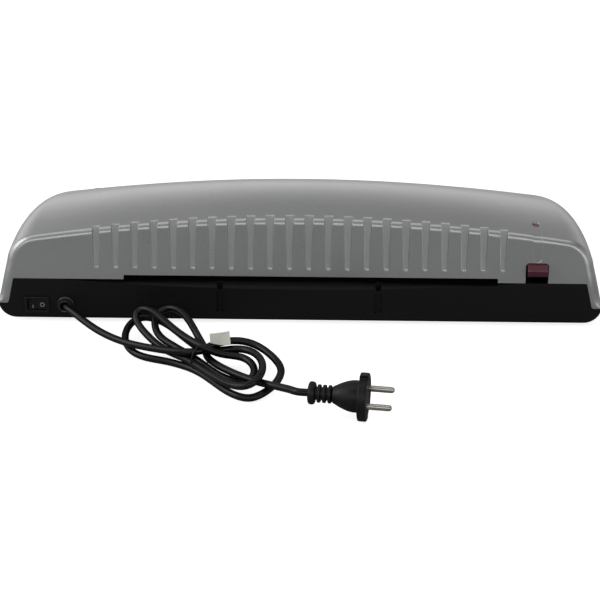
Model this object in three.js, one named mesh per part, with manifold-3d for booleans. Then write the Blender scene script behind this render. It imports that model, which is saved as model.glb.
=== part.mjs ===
// A pouch laminator: an arched silver cover over a black base, two pairs of heated-pouch rollers
// driven by a gear motor, a rear release lever, a rocker switch and a coiled mains cord.
//
// Millimetres, +Z up. The pouch goes in at the front (-Y) and comes out at the rear (+Y).
// Inside this file places are measured from the middle of the machine's footprint on the table;
// the exported group is shifted so that the origin is the bottom centre of the whole bounding box.

import * as THREE from 'three';
import { mergeVertices } from 'three/addons/utils/BufferGeometryUtils.js';
import Module from 'manifold-3d';

const wasm = await Module();
wasm.setup();

// ---------------------------------------------------------------- driving dimensions

const HALF_WIDTH = 253;
const HALF_DEPTH = 72;
const BOTTOM_Z = 3; // underside of the base, above the rubber feet
const PARTING_Z = 39.7; // where the cover meets the base, front and rear
const PARTING_HALF = 238.5; // half length of the parting line's level stretch
const LEG_Z = 17; // where the cover's side legs end
const LEG_INNER_X = 244; // inner edge of a leg at its lower end
const WALL = 2.5;
const GAP = 0.3;
const PLAN_TAPER = 0.091; // how much narrower the front is than the rear
const WIDEST_Y = 66; // where the sides start to draw in towards the front

const ARCH_TOP_Z = 92.1; // crown of the cover at the rear ridge
const ARCH_DROP = 0.00033; // the crown falls by this times the square of the distance from the middle
const ARCH_HALF = 221.5; // where the arch turns into the shoulder
const SHOULDER_R = 27;
const SIDE_LEAN = THREE.MathUtils.degToRad(7.8);
const CORNER_R = 15; // lower corners of the base
const RIDGE_TOP_R = 5; // rear edge's radius along the crown
const RIDGE_SIDE_R = 8.3; // and down the legs
const BASE_EDGE_R = 2.5;
const REAR_LEAN = THREE.MathUtils.degToRad(9.5);
const RIDGE_Y = 59.5; // where the rear fillet ends and the crowned top starts
const RIDGE_SLOPE = 0.3; // how steeply the top rises there, towards the front
const BROW_Y = -57; // where the crowned top ends and the nose turns down
const BROW_SLOPE = 0.52; // how steeply the top falls there
const NOSE_Y = -70.5; // front of the nose
const NOSE_FOOT_Z = 47; // height at which the nose ends, in the middle
const FRONT_R = 3;

const GROOVES = 22;
const GROOVE_PITCH = 16.06;
const GROOVE_BOTTOM_Z = 48.6;
const GROOVE_FLOOR_LEAN = THREE.MathUtils.degToRad(15.4);
const GROOVE_FLOOR_Y = 68.7; // depth of the groove's floor at its lower end
const GROOVE_BACKING = 1.6; // wall left behind the floor

const SLOT_CENTRE_X = -9.4;
const SLOT_LENGTH = 311.2;
const SLOT_FLOOR_Z = 37;
const SLOT_TOP_Z = 43.5; // the slot reaches up into the cover's edge
const LIP_CENTRE_X = 6.9;
const LIP_HALF = 196.6;
const LIP_DIP = 7.5; // how far the lip's rim dips below the parting line in the middle
const LIP_INNER_Y = 62; // where the lip starts to slope down
const NOTCH_X = 66;

const PATH_Z = 39; // height of the pouch path
const ROLLER_R = 7.8;
const SHAFT_R = 3;
const BORE_R = 3.08;
const SHAFT_SIDES = 16; // bores have as many, so that shafts turn freely in them
const ROLLER_SPAN = { low: -170, high: 150 };
const GEAR_MODULE = 1;
const ROLLER_TEETH = 16;
const IDLER_TEETH = 45;
const PINION_TEETH = 12;
const IDLER_Y = 2.3;
const IDLER_PITCH = 360 / IDLER_TEETH;
const PINION_DIRECTION = 11 * IDLER_PITCH; // degrees, from +Y towards +Z, on a tooth of the idler

const FRAME_LEFT_X = 158;
const FRAME_RIGHT_X = -179.5;
const PLATE_T = 1.5;
const GEAR_X = 163;
const GEAR_WIDTH = 6;
const MOTOR_PLATE_X = 172.5;

const SWITCH = { x: 220, z: 15.7, pivotY: 69, tilt: 8 };
const RELIEF = { x: 195.8, z: 16.5 };
const LEVER = {
  x: -197.1,
  width: 16.4,
  pivotY: 56,
  pivotZ: 50,
  pinR: 1.5,
  windowTop: 56.6,
  windowWidth: 18.6,
};
const INDICATOR = { x: -196.2, y: 46, r: 2.9 };
const PANEL = { x: 166, noseShare: 0.5, length: 44, width: 12, depth: 7.8, proud: 0.6 };
const BOSS = { x: 222, y: 30 };
const FOOT = { x: 212, y: 52, r: 8 };

const CORD_R = 3;
const CORD_SIDES = 8;
const COIL = {
  x: 80,
  y: 157,
  z: 6.5,
  leftLength: 72,
  rightLength: 74,
  halfWidth: 33,
  pitch: 6.7,
  turns: 3.25,
};
const TIE_WIRE_R = 0.6;
const PLUG = { x: -14, y: 227, z: 18.9, yaw: 172, roll: 17, flangeR: 18.5, pinR: 2.4, pinSpacing: 19 };

// The bounding box runs from the entry tray's front edge to the rim of the plug's flange.
const TRAY_FRONT_Y = -84;
const REAR_REACH_Y = 251.06;
const ORIGIN_Y = (TRAY_FRONT_Y + REAR_REACH_Y) / 2;

// ---------------------------------------------------------------- materials

const silver = new THREE.MeshStandardMaterial({ color: 0x8f9294, roughness: 0.42, metalness: 0.35 });
const blackPlastic = new THREE.MeshStandardMaterial({ color: 0x141414, roughness: 0.62, metalness: 0 });
const darkPlastic = new THREE.MeshStandardMaterial({ color: 0x1c1c1e, roughness: 0.5, metalness: 0 });
const cordPvc = new THREE.MeshStandardMaterial({ color: 0x0e0e0f, roughness: 0.38, metalness: 0 });
const maroon = new THREE.MeshStandardMaterial({ color: 0x5a1424, roughness: 0.28, metalness: 0 });
const redLens = new THREE.MeshStandardMaterial({ color: 0x7a1022, roughness: 0.2, metalness: 0 });
const greenLens = new THREE.MeshStandardMaterial({ color: 0x2a7a3a, roughness: 0.2, metalness: 0 });
const steel = new THREE.MeshStandardMaterial({ color: 0xa9adb0, roughness: 0.3, metalness: 1 });
const nickel = new THREE.MeshStandardMaterial({ color: 0xb9b6ae, roughness: 0.25, metalness: 1 });
const aluminium = new THREE.MeshStandardMaterial({ color: 0xc0c3c5, roughness: 0.4, metalness: 1 });
const silicone = new THREE.MeshStandardMaterial({ color: 0x8c3a2a, roughness: 0.7, metalness: 0 });
const nylon = new THREE.MeshStandardMaterial({ color: 0xe6e2d6, roughness: 0.5, metalness: 0 });
const rubber = new THREE.MeshStandardMaterial({ color: 0x1a1a1a, roughness: 0.85, metalness: 0 });
const board = new THREE.MeshStandardMaterial({ color: 0x1f5a34, roughness: 0.5, metalness: 0 });
const paper = new THREE.MeshStandardMaterial({ color: 0xe4e6da, roughness: 0.8, metalness: 0 });

// ---------------------------------------------------------------- shape helpers

function toSolid(geometry) {
  const bare = geometry.clone();
  bare.deleteAttribute('normal');
  bare.deleteAttribute('uv');
  const merged = mergeVertices(bare, 1e-4);
  return new wasm.Manifold(new wasm.Mesh({
    numProp: 3,
    vertProperties: new Float32Array(merged.attributes.position.array),
    triVerts: new Uint32Array(merged.index.array),
  }));
}

function toGeometry(solid) {
  const mesh = solid.getMesh();
  const geometry = new THREE.BufferGeometry();
  geometry.setAttribute('position', new THREE.BufferAttribute(mesh.vertProperties, 3));
  geometry.setIndex(new THREE.BufferAttribute(mesh.triVerts, 1));
  geometry.computeVertexNormals();
  return geometry;
}

/** Joins a list of solids. */
function join(solids) {
  return solids.reduce((whole, next) => whole.add(next));
}

/** A box between two corners. */
function block(low, high) {
  const size = high.map((value, i) => value - low[i]);
  const geometry = new THREE.BoxGeometry(...size);
  geometry.translate(...low.map((value, i) => value + size[i] / 2));
  return geometry;
}

/** Turns a shape's extrusion so that its x, y and depth run along +Y, +Z and +X. */
const ALONG_X = new THREE.Matrix4().makeBasis(
  new THREE.Vector3(0, 1, 0),
  new THREE.Vector3(0, 0, 1),
  new THREE.Vector3(1, 0, 0),
);

/** Extrudes a shape drawn in Y and Z from x = low to x = high. */
function extrudeX(shape, low, high, curveSegments = 12) {
  const options = { depth: high - low, bevelEnabled: false, curveSegments };
  return new THREE.ExtrudeGeometry(shape, options).applyMatrix4(ALONG_X).translate(low, 0, 0);
}

/** Extrudes a shape drawn in X and Z from y = low to y = high. */
function extrudeY(shape, low, high, curveSegments = 12) {
  const options = { depth: high - low, bevelEnabled: false, curveSegments };
  return new THREE.ExtrudeGeometry(shape, options).rotateX(Math.PI / 2).translate(0, high, 0);
}

function polygon(points) {
  return new THREE.Shape(points.map(([x, y]) => new THREE.Vector2(x, y)));
}

/** A regular polygon that stands for a circle; every circle starts at the same angle. */
function circle(x, y, radius, sides) {
  const points = [];
  for (let i = 0; i < sides; i += 1) {
    const angle = (2 * Math.PI * i) / sides;
    points.push([x + radius * Math.cos(angle), y + radius * Math.sin(angle)]);
  }
  return polygon(points);
}

function rectangle(lowX, lowY, highX, highY) {
  return polygon([[lowX, lowY], [highX, lowY], [highX, highY], [lowX, highY]]);
}

function withHoles(shape, holes) {
  shape.holes.push(...holes);
  return shape;
}

/** A rod along X. */
function rodX(y, z, radius, low, high, sides = SHAFT_SIDES) {
  return extrudeX(circle(y, z, radius, sides), low, high);
}

/** A disc or post along Z. */
function postZ(x, y, radius, low, high, sides = 16) {
  const options = { depth: high - low, bevelEnabled: false };
  return new THREE.ExtrudeGeometry(circle(x, y, radius, sides), options).translate(0, 0, low);
}

/** A body of revolution about local Y from [radius, height] pairs that start and end on the axis. */
function lathe(profile, sides = 24) {
  return new THREE.LatheGeometry(profile.map(([r, h]) => new THREE.Vector2(r, h)), sides);
}

/**
 * A closed solid through a list of rings with equal point counts. The first and last rings are
 * capped by joining points i and n-1-i, or joined to each other when the solid is a loop.
 */
function loft(rings, loop = false) {
  const count = rings[0].length;
  const positions = rings.flat(2);
  const index = [];
  const bands = loop ? rings.length : rings.length - 1;
  for (let r = 0; r < bands; r += 1) {
    const here = r * count;
    const there = ((r + 1) % rings.length) * count;
    for (let i = 0; i < count; i += 1) {
      const next = (i + 1) % count;
      index.push(here + i, here + next, there + next, here + i, there + next, there + i);
    }
  }
  const last = (rings.length - 1) * count;
  for (let i = 0; !loop && i + 1 < count - 1 - i; i += 1) {
    const j = count - 1 - i;
    index.push(i, j, i + 1, last + i, last + i + 1, last + j);
    if (j - 1 > i + 1) {
      index.push(i + 1, j, j - 1, last + i + 1, last + j - 1, last + j);
    }
  }
  const geometry = new THREE.BufferGeometry();
  geometry.setAttribute('position', new THREE.Float32BufferAttribute(positions, 3));
  geometry.setIndex(index);
  geometry.computeVertexNormals();
  return geometry;
}

const group = new THREE.Group();

function addMesh(name, geometry, material, parent = group) {
  const mesh = new THREE.Mesh(geometry, material);
  mesh.name = name;
  parent.add(mesh);
  return mesh;
}

// ---------------------------------------------------------------- the machine's outer form

/** Height of the crowned top over the middle of the machine, from the rear ridge to the brow. */
function crownZ(y) {
  const run = Math.max(0, RIDGE_Y - y);
  const bend = (RIDGE_SLOPE + BROW_SLOPE) / (2 * (RIDGE_Y - BROW_Y));
  return ARCH_TOP_Z + RIDGE_SLOPE * run - bend * run * run;
}

/** The rounded nose in front of the brow, as [y, crown height] at a share of its way down. */
function nose(share) {
  const drop = BROW_SLOPE * (BROW_Y - NOSE_Y);
  const brow = new THREE.Vector2(BROW_Y, crownZ(BROW_Y));
  const knee = new THREE.Vector2(NOSE_Y, crownZ(BROW_Y) - drop);
  const foot = new THREE.Vector2(NOSE_Y, NOSE_FOOT_Z);
  return new THREE.QuadraticBezierCurve(brow, knee, foot).getPoint(share).toArray();
}

/** How far the part of the outline above the parting line is stretched upwards at a crown's height. */
function stretch(crown) {
  return (crown - PARTING_Z) / (ARCH_TOP_Z - PARTING_Z);
}

/** The plan's width at a depth, as a share of its greatest width. */
function planWidth(y) {
  return 1 - PLAN_TAPER * (Math.max(0, WIDEST_Y - y) / (WIDEST_Y + HALF_DEPTH)) ** 2;
}

function rearY(z) {
  return HALF_DEPTH - Math.max(0, z - PARTING_Z) * Math.tan(REAR_LEAN);
}

/** The rear edge's radius where the section's outward normal has an upward part nz. */
function ridgeRadius(nz) {
  return RIDGE_SIDE_R + (RIDGE_TOP_R - RIDGE_SIDE_R) * nz * nz;
}

/**
 * The +X half of the section across the machine, from the underside up to the crown.
 * Each point carries its outward normal and the radius of the rear edge there.
 */
function halfOutline() {
  const points = [];
  const cornerX = HALF_WIDTH - CORNER_R;
  const cornerZ = BOTTOM_Z + CORNER_R;
  const cornerSteps = 4;
  for (let i = 0; i <= cornerSteps; i += 1) {
    const angle = (Math.PI / 2) * (i / cornerSteps - 1);
    const [nx, nz] = [Math.cos(angle), Math.sin(angle)];
    points.push({ x: cornerX + CORNER_R * nx, z: cornerZ + CORNER_R * nz, nx, nz, edge: BASE_EDGE_R });
  }
  const archEndZ = ARCH_TOP_Z - ARCH_DROP * ARCH_HALF ** 2;
  const archEndAngle = Math.PI / 2 - Math.atan(2 * ARCH_DROP * ARCH_HALF);
  const shoulderX = ARCH_HALF - SHOULDER_R * Math.cos(archEndAngle);
  const shoulderZ = archEndZ - SHOULDER_R * Math.sin(archEndAngle);
  const sideTopX = shoulderX + SHOULDER_R * Math.cos(SIDE_LEAN);
  const sideTopZ = shoulderZ + SHOULDER_R * Math.sin(SIDE_LEAN);
  const [sideNx, sideNz] = [Math.cos(SIDE_LEAN), Math.sin(SIDE_LEAN)];
  for (const z of [LEG_Z + 4, PARTING_Z + RIDGE_SIDE_R * sideNz]) {
    const share = (z - cornerZ) / (sideTopZ - cornerZ);
    const x = HALF_WIDTH + (sideTopX - HALF_WIDTH) * share;
    points.push({ x, z, nx: sideNx, nz: sideNz, edge: RIDGE_SIDE_R });
  }
  const shoulderSteps = 6;
  for (let i = 0; i <= shoulderSteps; i += 1) {
    const angle = SIDE_LEAN + ((archEndAngle - SIDE_LEAN) * i) / shoulderSteps;
    const [nx, nz] = [Math.cos(angle), Math.sin(angle)];
    const [x, z] = [shoulderX + SHOULDER_R * nx, shoulderZ + SHOULDER_R * nz];
    points.push({ x, z, nx, nz, edge: ridgeRadius(nz) });
  }
  const archSteps = 6;
  for (let i = archSteps - 1; i >= 0; i -= 1) {
    const x = (ARCH_HALF * i) / archSteps;
    const steep = 2 * ARCH_DROP * x;
    const length = Math.hypot(1, steep);
    const z = ARCH_TOP_Z - ARCH_DROP * x * x;
    points.push({ x, z, nx: steep / length, nz: 1 / length, edge: ridgeRadius(1 / length) });
  }
  return points;
}

/** The machine's outer form, or the hollow inside it when shrink is the wall's thickness. */
function bodyForm(shrink) {
  const half = halfOutline();
  const crown = half[half.length - 1];
  const mirrored = half.slice(0, -1).reverse().map((p) => ({ ...p, x: -p.x, nx: -p.nx }));
  const outline = [...half, crown, ...mirrored];

  const place = (p, inset, y, crown) => {
    const x = (p.x - p.nx * (inset + shrink)) * planWidth(y);
    const z = p.z - p.nz * (inset + shrink);
    return [x, y, z > PARTING_Z ? PARTING_Z + (z - PARTING_Z) * stretch(crown) : z];
  };

  // The rear edge turns until it runs into the rising top, or into the upright side.
  const rings = [];
  for (const share of shrink > 0 ? [0, 1] : [0, 1 / 3, 2 / 3, 1]) {
    rings.push(outline.map((p) => {
      const angle = share * (Math.PI / 2 - Math.atan(RIDGE_SLOPE) * p.nz ** 2);
      const radius = Math.max(1, p.edge - shrink);
      const inset = radius * (1 - Math.sin(angle));
      const z = p.z - p.nz * (inset + shrink);
      return place(p, inset, rearY(z) - shrink - radius * (1 - Math.cos(angle)), ARCH_TOP_Z);
    }));
  }
  for (const y of [50, 30, 10, -10, -28, -44]) {
    rings.push(outline.map((p) => place(p, 0, y, crownZ(y))));
  }
  for (const share of [0, 0.25, 0.5, 0.75, 1]) {
    const [y, crown] = nose(share);
    rings.push(outline.map((p) => place(p, 0, y + shrink, crown)));
  }
  rings.push(outline.map((p) => place(p, FRONT_R, -HALF_DEPTH + shrink, NOSE_FOOT_Z)));

  // The crown point is doubled so that the caps pair left with right; one copy is nudged aside.
  const split = 0.5;
  for (const ring of rings) {
    ring[half.length - 1][0] = split;
    ring[half.length][0] = -split;
  }
  return toSolid(loft(rings));
}

/** The part of space above the line where the cover meets the base, or below it, drawn in with the plan. */
function partingForm(side) {
  const shift = (side * GAP) / 2;
  const wide = HALF_WIDTH + 20;
  const far = side > 0 ? 140 : -20;
  const line = [
    [-wide, LEG_Z + shift],
    [-LEG_INNER_X - shift, LEG_Z + shift],
    [-PARTING_HALF - shift, PARTING_Z + shift],
    [PARTING_HALF + shift, PARTING_Z + shift],
    [LEG_INNER_X + shift, LEG_Z + shift],
    [wide, LEG_Z + shift],
  ];
  const shape = polygon([...line, [wide, far], [-wide, far]]);
  const reach = HALF_DEPTH + 20;
  const options = { depth: 2 * reach, bevelEnabled: false, steps: 8 };
  const geometry = new THREE.ExtrudeGeometry(shape, options).rotateX(Math.PI / 2).translate(0, reach, 0);
  const place = geometry.attributes.position;
  for (let i = 0; i < place.count; i += 1) {
    place.setX(i, place.getX(i) * planWidth(place.getY(i)));
  }
  return toSolid(geometry);
}

/** Stands a form up on the grooves' leaning floor: its x runs across, y up the floor, z outwards. */
function leanOnGrooveFloor(geometry, x) {
  geometry.rotateY(Math.PI);
  geometry.rotateX(Math.PI / 2 + GROOVE_FLOOR_LEAN);
  return geometry.translate(x, GROOVE_FLOOR_Y, GROOVE_BOTTOM_Z);
}

/** One vent groove's cutting form: wider at the top, round at the bottom. */
function grooveForm(x) {
  const length = 62;
  const bottomHalf = 2;
  const topHalf = 4.2;
  const shape = new THREE.Shape();
  shape.moveTo(topHalf, length);
  shape.lineTo(-topHalf, length);
  shape.lineTo(-bottomHalf, bottomHalf);
  shape.absarc(0, bottomHalf, bottomHalf, Math.PI, 2 * Math.PI, false);
  const geometry = new THREE.ExtrudeGeometry(shape, { depth: 25, bevelEnabled: false, curveSegments: 4 });
  return toSolid(leanOnGrooveFloor(geometry, x));
}

function grooveForms() {
  const forms = [];
  for (let i = 0; i < GROOVES; i += 1) {
    forms.push(grooveForm((i - (GROOVES - 1) / 2) * GROOVE_PITCH));
  }
  return join(forms);
}

/** The thickened stretch of the rear wall that backs all the grooves. */
function grooveBacking() {
  const half = (GROOVES * GROOVE_PITCH) / 2;
  return toSolid(leanOnGrooveFloor(block([-half, -WALL, -GROOVE_BACKING], [half, 62, 25]), 0));
}

/** Height of the arched top at a place where the crown stands at a given height. */
function archZ(x, y, crown) {
  const drop = ARCH_DROP * (x / planWidth(y)) ** 2;
  return PARTING_Z + (ARCH_TOP_Z - drop - PARTING_Z) * stretch(crown);
}

/** The control panel's frame of reference: +Y runs up the nose and +Z points out of it. */
function panelMatrix() {
  const at = (x, share) => {
    const [y, crown] = nose(share);
    return new THREE.Vector3(x, y, archZ(x, y, crown));
  };
  const { x, noseShare: share } = PANEL;
  const up = at(x, share - 0.2).sub(at(x, share + 0.2)).normalize();
  const across = at(x + 10, share).sub(at(x - 10, share));
  const out = across.cross(up).normalize();
  return new THREE.Matrix4().makeBasis(up.clone().cross(out), up, out).setPosition(at(x, share));
}

const PANEL_MATRIX = panelMatrix();

// ---------------------------------------------------------------- housings

const outer = bodyForm(0);
const hollow = bodyForm(WALL);

function bossPlaces() {
  const places = [];
  for (const x of [-BOSS.x, BOSS.x]) {
    for (const y of [-BOSS.y, BOSS.y]) {
      places.push({ x, y });
    }
  }
  return places;
}

function makeCover() {
  const bosses = join(bossPlaces().map(({ x, y }) => toSolid(postZ(x, y, 4, 16, 110, 12)))).intersect(outer);
  const shell = outer.subtract(hollow.subtract(grooveBacking()));
  const windowHalf = LEVER.windowWidth / 2;
  const slotLow = SLOT_CENTRE_X - SLOT_LENGTH / 2;
  const slotHigh = SLOT_CENTRE_X + SLOT_LENGTH / 2;
  const cuts = [
    grooveForms(),
    toSolid(block([slotLow, 60, PARTING_Z - 5], [slotHigh, 80, SLOT_TOP_Z])),
    toSolid(block([slotLow - 5, -80, PARTING_Z - 5], [slotHigh + 5, -60, SLOT_TOP_Z])),
    toSolid(block([LEVER.x - windowHalf, 60, 30], [LEVER.x + windowHalf, 80, LEVER.windowTop])),
    toSolid(postZ(INDICATOR.x, INDICATOR.y, INDICATOR.r, 60, 120, 12)),
    toSolid(block(
      [-PANEL.length / 2 - GAP, -PANEL.width / 2 - GAP, -PANEL.depth],
      [PANEL.length / 2 + GAP, PANEL.width / 2 + GAP, 8],
    ).applyMatrix4(PANEL_MATRIX)),
    ...bossPlaces().map(({ x, y }) => toSolid(postZ(x, y, 1.9, 10, 44, 12))),
  ];
  return toGeometry(shell.intersect(partingForm(1)).add(bosses).subtract(join(cuts)));
}

/** The shallow dished lip under the exit slot, deepest in the middle. */
function lipScoop() {
  const steps = 12;
  const rings = [];
  const outerY = HALF_DEPTH + 2;
  const reach = (outerY - LIP_INNER_Y) / (HALF_DEPTH - LIP_INNER_Y);
  for (let i = 0; i <= steps; i += 1) {
    const across = (2 * i) / steps - 1;
    const x = LIP_CENTRE_X + LIP_HALF * across;
    const dip = Math.max(0.05, LIP_DIP * (1 - across * across));
    rings.push([
      [x, LIP_INNER_Y, PARTING_Z],
      [x, outerY, PARTING_Z - dip * reach],
      [x, outerY, PARTING_Z + 2],
      [x, LIP_INNER_Y, PARTING_Z + 2],
    ]);
  }
  return toSolid(loft(rings));
}

function makeBase() {
  const slotLow = SLOT_CENTRE_X - SLOT_LENGTH / 2;
  const slotHigh = SLOT_CENTRE_X + SLOT_LENGTH / 2;
  const lipHigh = LIP_CENTRE_X + LIP_HALF + 3;
  const lipLow = LIP_CENTRE_X - LIP_HALF - 3;
  const earFloor = BOTTOM_Z + 1;
  const earX = LEVER.width / 2 + 3;
  const adds = [
    toSolid(block([lipLow, 58.5, 24], [lipHigh, HALF_DEPTH - 1, PARTING_Z - GAP / 2])),
    ...bossPlaces().map(({ x, y }) => toSolid(postZ(x, y, 5.5, earFloor, 15, 12))),
    ...[-earX, earX].map((dx) => toSolid(
      block([LEVER.x + dx - 1, 51, earFloor], [LEVER.x + dx + 1, 61, LEVER.pivotZ + 4]),
    )),
  ];
  const cuts = [
    lipScoop(),
    toSolid(block([slotLow, 50, SLOT_FLOOR_Z], [slotHigh, 80, PARTING_Z + 2])),
    toSolid(block([slotLow - 5, -80, 32], [slotHigh + 5, -60, PARTING_Z + 2])),
    toSolid(block([SWITCH.x - 9.6, 60, SWITCH.z - 6.6], [SWITCH.x + 9.6, 80, SWITCH.z + 6.6])),
    toSolid(extrudeY(circle(RELIEF.x, RELIEF.z, 5.6, 16), 60, 80)),
    toSolid(rodX(LEVER.pivotY, LEVER.pivotZ, LEVER.pinR + 0.1, LEVER.x - 30, LEVER.x + 30, 16)),
    ...bossPlaces().map(({ x, y }) => toSolid(postZ(x, y, 1.9, 0, 20, 12))),
    ...bossPlaces().map(({ x, y }) => toSolid(postZ(x, y, 3.7, 0, 7.5, 16))),
  ];
  for (const x of [-NOTCH_X, NOTCH_X]) {
    cuts.push(toSolid(block([x - 2.5, 69.5, 31], [x + 2.5, 80, PARTING_Z + 2])));
    cuts.push(toSolid(block([x - 3.3, HALF_DEPTH - 0.8, 11], [x - 0.9, 80, 30])));
    cuts.push(toSolid(block([x + 0.9, HALF_DEPTH - 0.8, 11], [x + 3.3, 80, 30])));
  }
  const shell = outer.intersect(partingForm(-1)).subtract(hollow);
  return toGeometry(shell.add(join(adds)).subtract(join(cuts)));
}

addMesh('top_cover', makeCover(), silver);
addMesh('base_housing', makeBase(), blackPlastic);

/** The entry tray: a flat shelf with a turned-down front edge. */
const traySection = polygon([
  [-50, 34.5], [-50, 36.8], [-79, 36.8], [-83, 35.8], [TRAY_FRONT_Y, 34], [TRAY_FRONT_Y, 32.6], [-79, 34.5],
]);
addMesh(
  'entry_tray',
  extrudeX(traySection, SLOT_CENTRE_X - SLOT_LENGTH / 2 - 4, SLOT_CENTRE_X + SLOT_LENGTH / 2 + 4),
  blackPlastic,
);
addMesh(
  'exit_guide',
  extrudeX(polygon([[43, 32], [58.2, 32], [58.2, 36.8], [46, 36.8], [43, 35]]), -166, 146),
  darkPlastic,
);

bossPlaces().forEach(({ x, y }, i) => {
  const head = toSolid(postZ(x, y, 3.2, 5, 7.2, 16));
  const shank = toSolid(postZ(x, y, 1.5, 7, 38, 10));
  addMesh(`housing_screw_${i + 1}`, toGeometry(head.add(shank)), steel);
});

for (const [side, x] of [['left', FOOT.x], ['right', -FOOT.x]]) {
  for (const [end, y] of [['front', -FOOT.y], ['rear', FOOT.y]]) {
    addMesh(`foot_${end}_${side}`, postZ(x, y, FOOT.r, 0, BOTTOM_Z - GAP, 20), rubber);
  }
}

// ---------------------------------------------------------------- roller drive

const GEAR_DISTANCE = (GEAR_MODULE * (IDLER_TEETH + ROLLER_TEETH)) / 2;
const ROLLER_RISE = (GEAR_MODULE * ROLLER_TEETH) / 2;
const LOWER_Z = PATH_Z - ROLLER_RISE;
const UPPER_Z = PATH_Z + ROLLER_RISE;
const FRONT_Y = IDLER_Y - GEAR_DISTANCE;
const BACK_Y = IDLER_Y + GEAR_DISTANCE;

/** A spur gear's outline: straight-sided teeth with room for backlash, first tooth at phase degrees. */
function gearOutline(y, z, teeth, phase) {
  const pitchAngle = (2 * Math.PI) / teeth;
  const tip = GEAR_MODULE * (teeth / 2 + 0.85);
  const root = GEAR_MODULE * (teeth / 2 - 1.15);
  const corners = [[root, -0.36], [tip, -0.13], [tip, 0.13], [root, 0.36]];
  const points = [];
  for (let i = 0; i < teeth; i += 1) {
    for (const [radius, share] of corners) {
      const angle = THREE.MathUtils.degToRad(phase) + (i + share) * pitchAngle;
      points.push([y + radius * Math.cos(angle), z + radius * Math.sin(angle)]);
    }
  }
  return polygon(points);
}

const halfTooth = 180 / ROLLER_TEETH;
const rollers = [
  { name: 'lower_front', y: FRONT_Y, z: LOWER_Z, phase: 0 },
  { name: 'upper_front', y: FRONT_Y, z: UPPER_Z, phase: halfTooth },
  { name: 'lower_rear', y: BACK_Y, z: LOWER_Z, phase: halfTooth },
  { name: 'upper_rear', y: BACK_Y, z: UPPER_Z, phase: 0 },
];

for (const { name, y, z, phase } of rollers) {
  const sleeve = withHoles(circle(y, z, ROLLER_R, 24), [circle(y, z, BORE_R, SHAFT_SIDES)]);
  addMesh(`${name}_roller_sleeve`, extrudeX(sleeve, ROLLER_SPAN.low, ROLLER_SPAN.high), silicone);
  addMesh(`${name}_roller_shaft`, rodX(y, z, SHAFT_R, -183, 171), steel);
  const gear = withHoles(gearOutline(y, z, ROLLER_TEETH, phase), [circle(y, z, BORE_R, SHAFT_SIDES)]);
  addMesh(`${name}_roller_gear`, extrudeX(gear, GEAR_X, GEAR_X + GEAR_WIDTH), nylon);
}

const idlerBore = circle(IDLER_Y, LOWER_Z, BORE_R, SHAFT_SIDES);
const idler = withHoles(gearOutline(IDLER_Y, LOWER_Z, IDLER_TEETH, 0), [idlerBore]);
addMesh('idler_gear', extrudeX(idler, GEAR_X + 0.5, GEAR_X + GEAR_WIDTH - 0.5), nylon);
const idlerPin = rodX(IDLER_Y, LOWER_Z, SHAFT_R, FRAME_LEFT_X + PLATE_T + GAP, MOTOR_PLATE_X - GAP);
addMesh('idler_pin', idlerPin, steel);

const pinionAngle = THREE.MathUtils.degToRad(PINION_DIRECTION);
const pinionDistance = (GEAR_MODULE * (IDLER_TEETH + PINION_TEETH)) / 2;
const PINION_Y = IDLER_Y + pinionDistance * Math.cos(pinionAngle);
const PINION_Z = LOWER_Z + pinionDistance * Math.sin(pinionAngle);
const pinionPhase = PINION_DIRECTION + 180 + 180 / PINION_TEETH;
const pinionOutline = gearOutline(PINION_Y, PINION_Z, PINION_TEETH, pinionPhase);
const pinion = toSolid(extrudeX(pinionOutline, GEAR_X, GEAR_X + GEAR_WIDTH));
const pinionShaft = toSolid(rodX(PINION_Y, PINION_Z, 2, GEAR_X + 1, MOTOR_PLATE_X + PLATE_T + 0.2, 16));
addMesh('motor_pinion', toGeometry(pinion.add(pinionShaft)), steel);

for (const [end, y] of [['front', FRONT_Y], ['rear', BACK_Y]]) {
  for (const [side, x] of [['left', FRAME_LEFT_X - GAP - 4], ['right', FRAME_RIGHT_X + PLATE_T + GAP]]) {
    const shape = withHoles(
      rectangle(y - 9, LOWER_Z - 9, y + 9, UPPER_Z + 9),
      [circle(y, LOWER_Z, BORE_R, SHAFT_SIDES), circle(y, UPPER_Z, BORE_R, SHAFT_SIDES)],
    );
    addMesh(`bearing_block_${end}_${side}`, extrudeX(shape, x, x + 4), nylon);
  }
}

/** A bent-up side frame that carries the bearing blocks, standing on the base's floor. */
function frameShape() {
  const floor = BOTTOM_Z + WALL + GAP;
  const shape = polygon([[-44, floor], [48, floor], [48, 68], [-28, 68], [-44, 50]]);
  return withHoles(shape, rollers.map(({ y, z }) => circle(y, z, SHAFT_R + 1.2, 12)));
}

addMesh('side_frame_left', extrudeX(frameShape(), FRAME_LEFT_X, FRAME_LEFT_X + PLATE_T), steel);
addMesh('side_frame_right', extrudeX(frameShape(), FRAME_RIGHT_X, FRAME_RIGHT_X + PLATE_T), steel);

const tieLow = FRAME_RIGHT_X + PLATE_T + GAP;
const tieHigh = FRAME_LEFT_X - GAP;
addMesh('tie_bar_front', rodX(-33, 59, 2.5, tieLow, tieHigh, 12), steel);
addMesh('tie_bar_rear', rodX(41, 61, 2.5, tieLow, tieHigh, 12), steel);

const motorPlate = withHoles(
  polygon([[-36, 8], [42, 8], [42, 68], [26, 80], [-10, 80], [-36, 56]]),
  [circle(PINION_Y, PINION_Z, 5, 16)],
);
addMesh('motor_plate', extrudeX(motorPlate, MOTOR_PLATE_X, MOTOR_PLATE_X + PLATE_T), steel);

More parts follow.
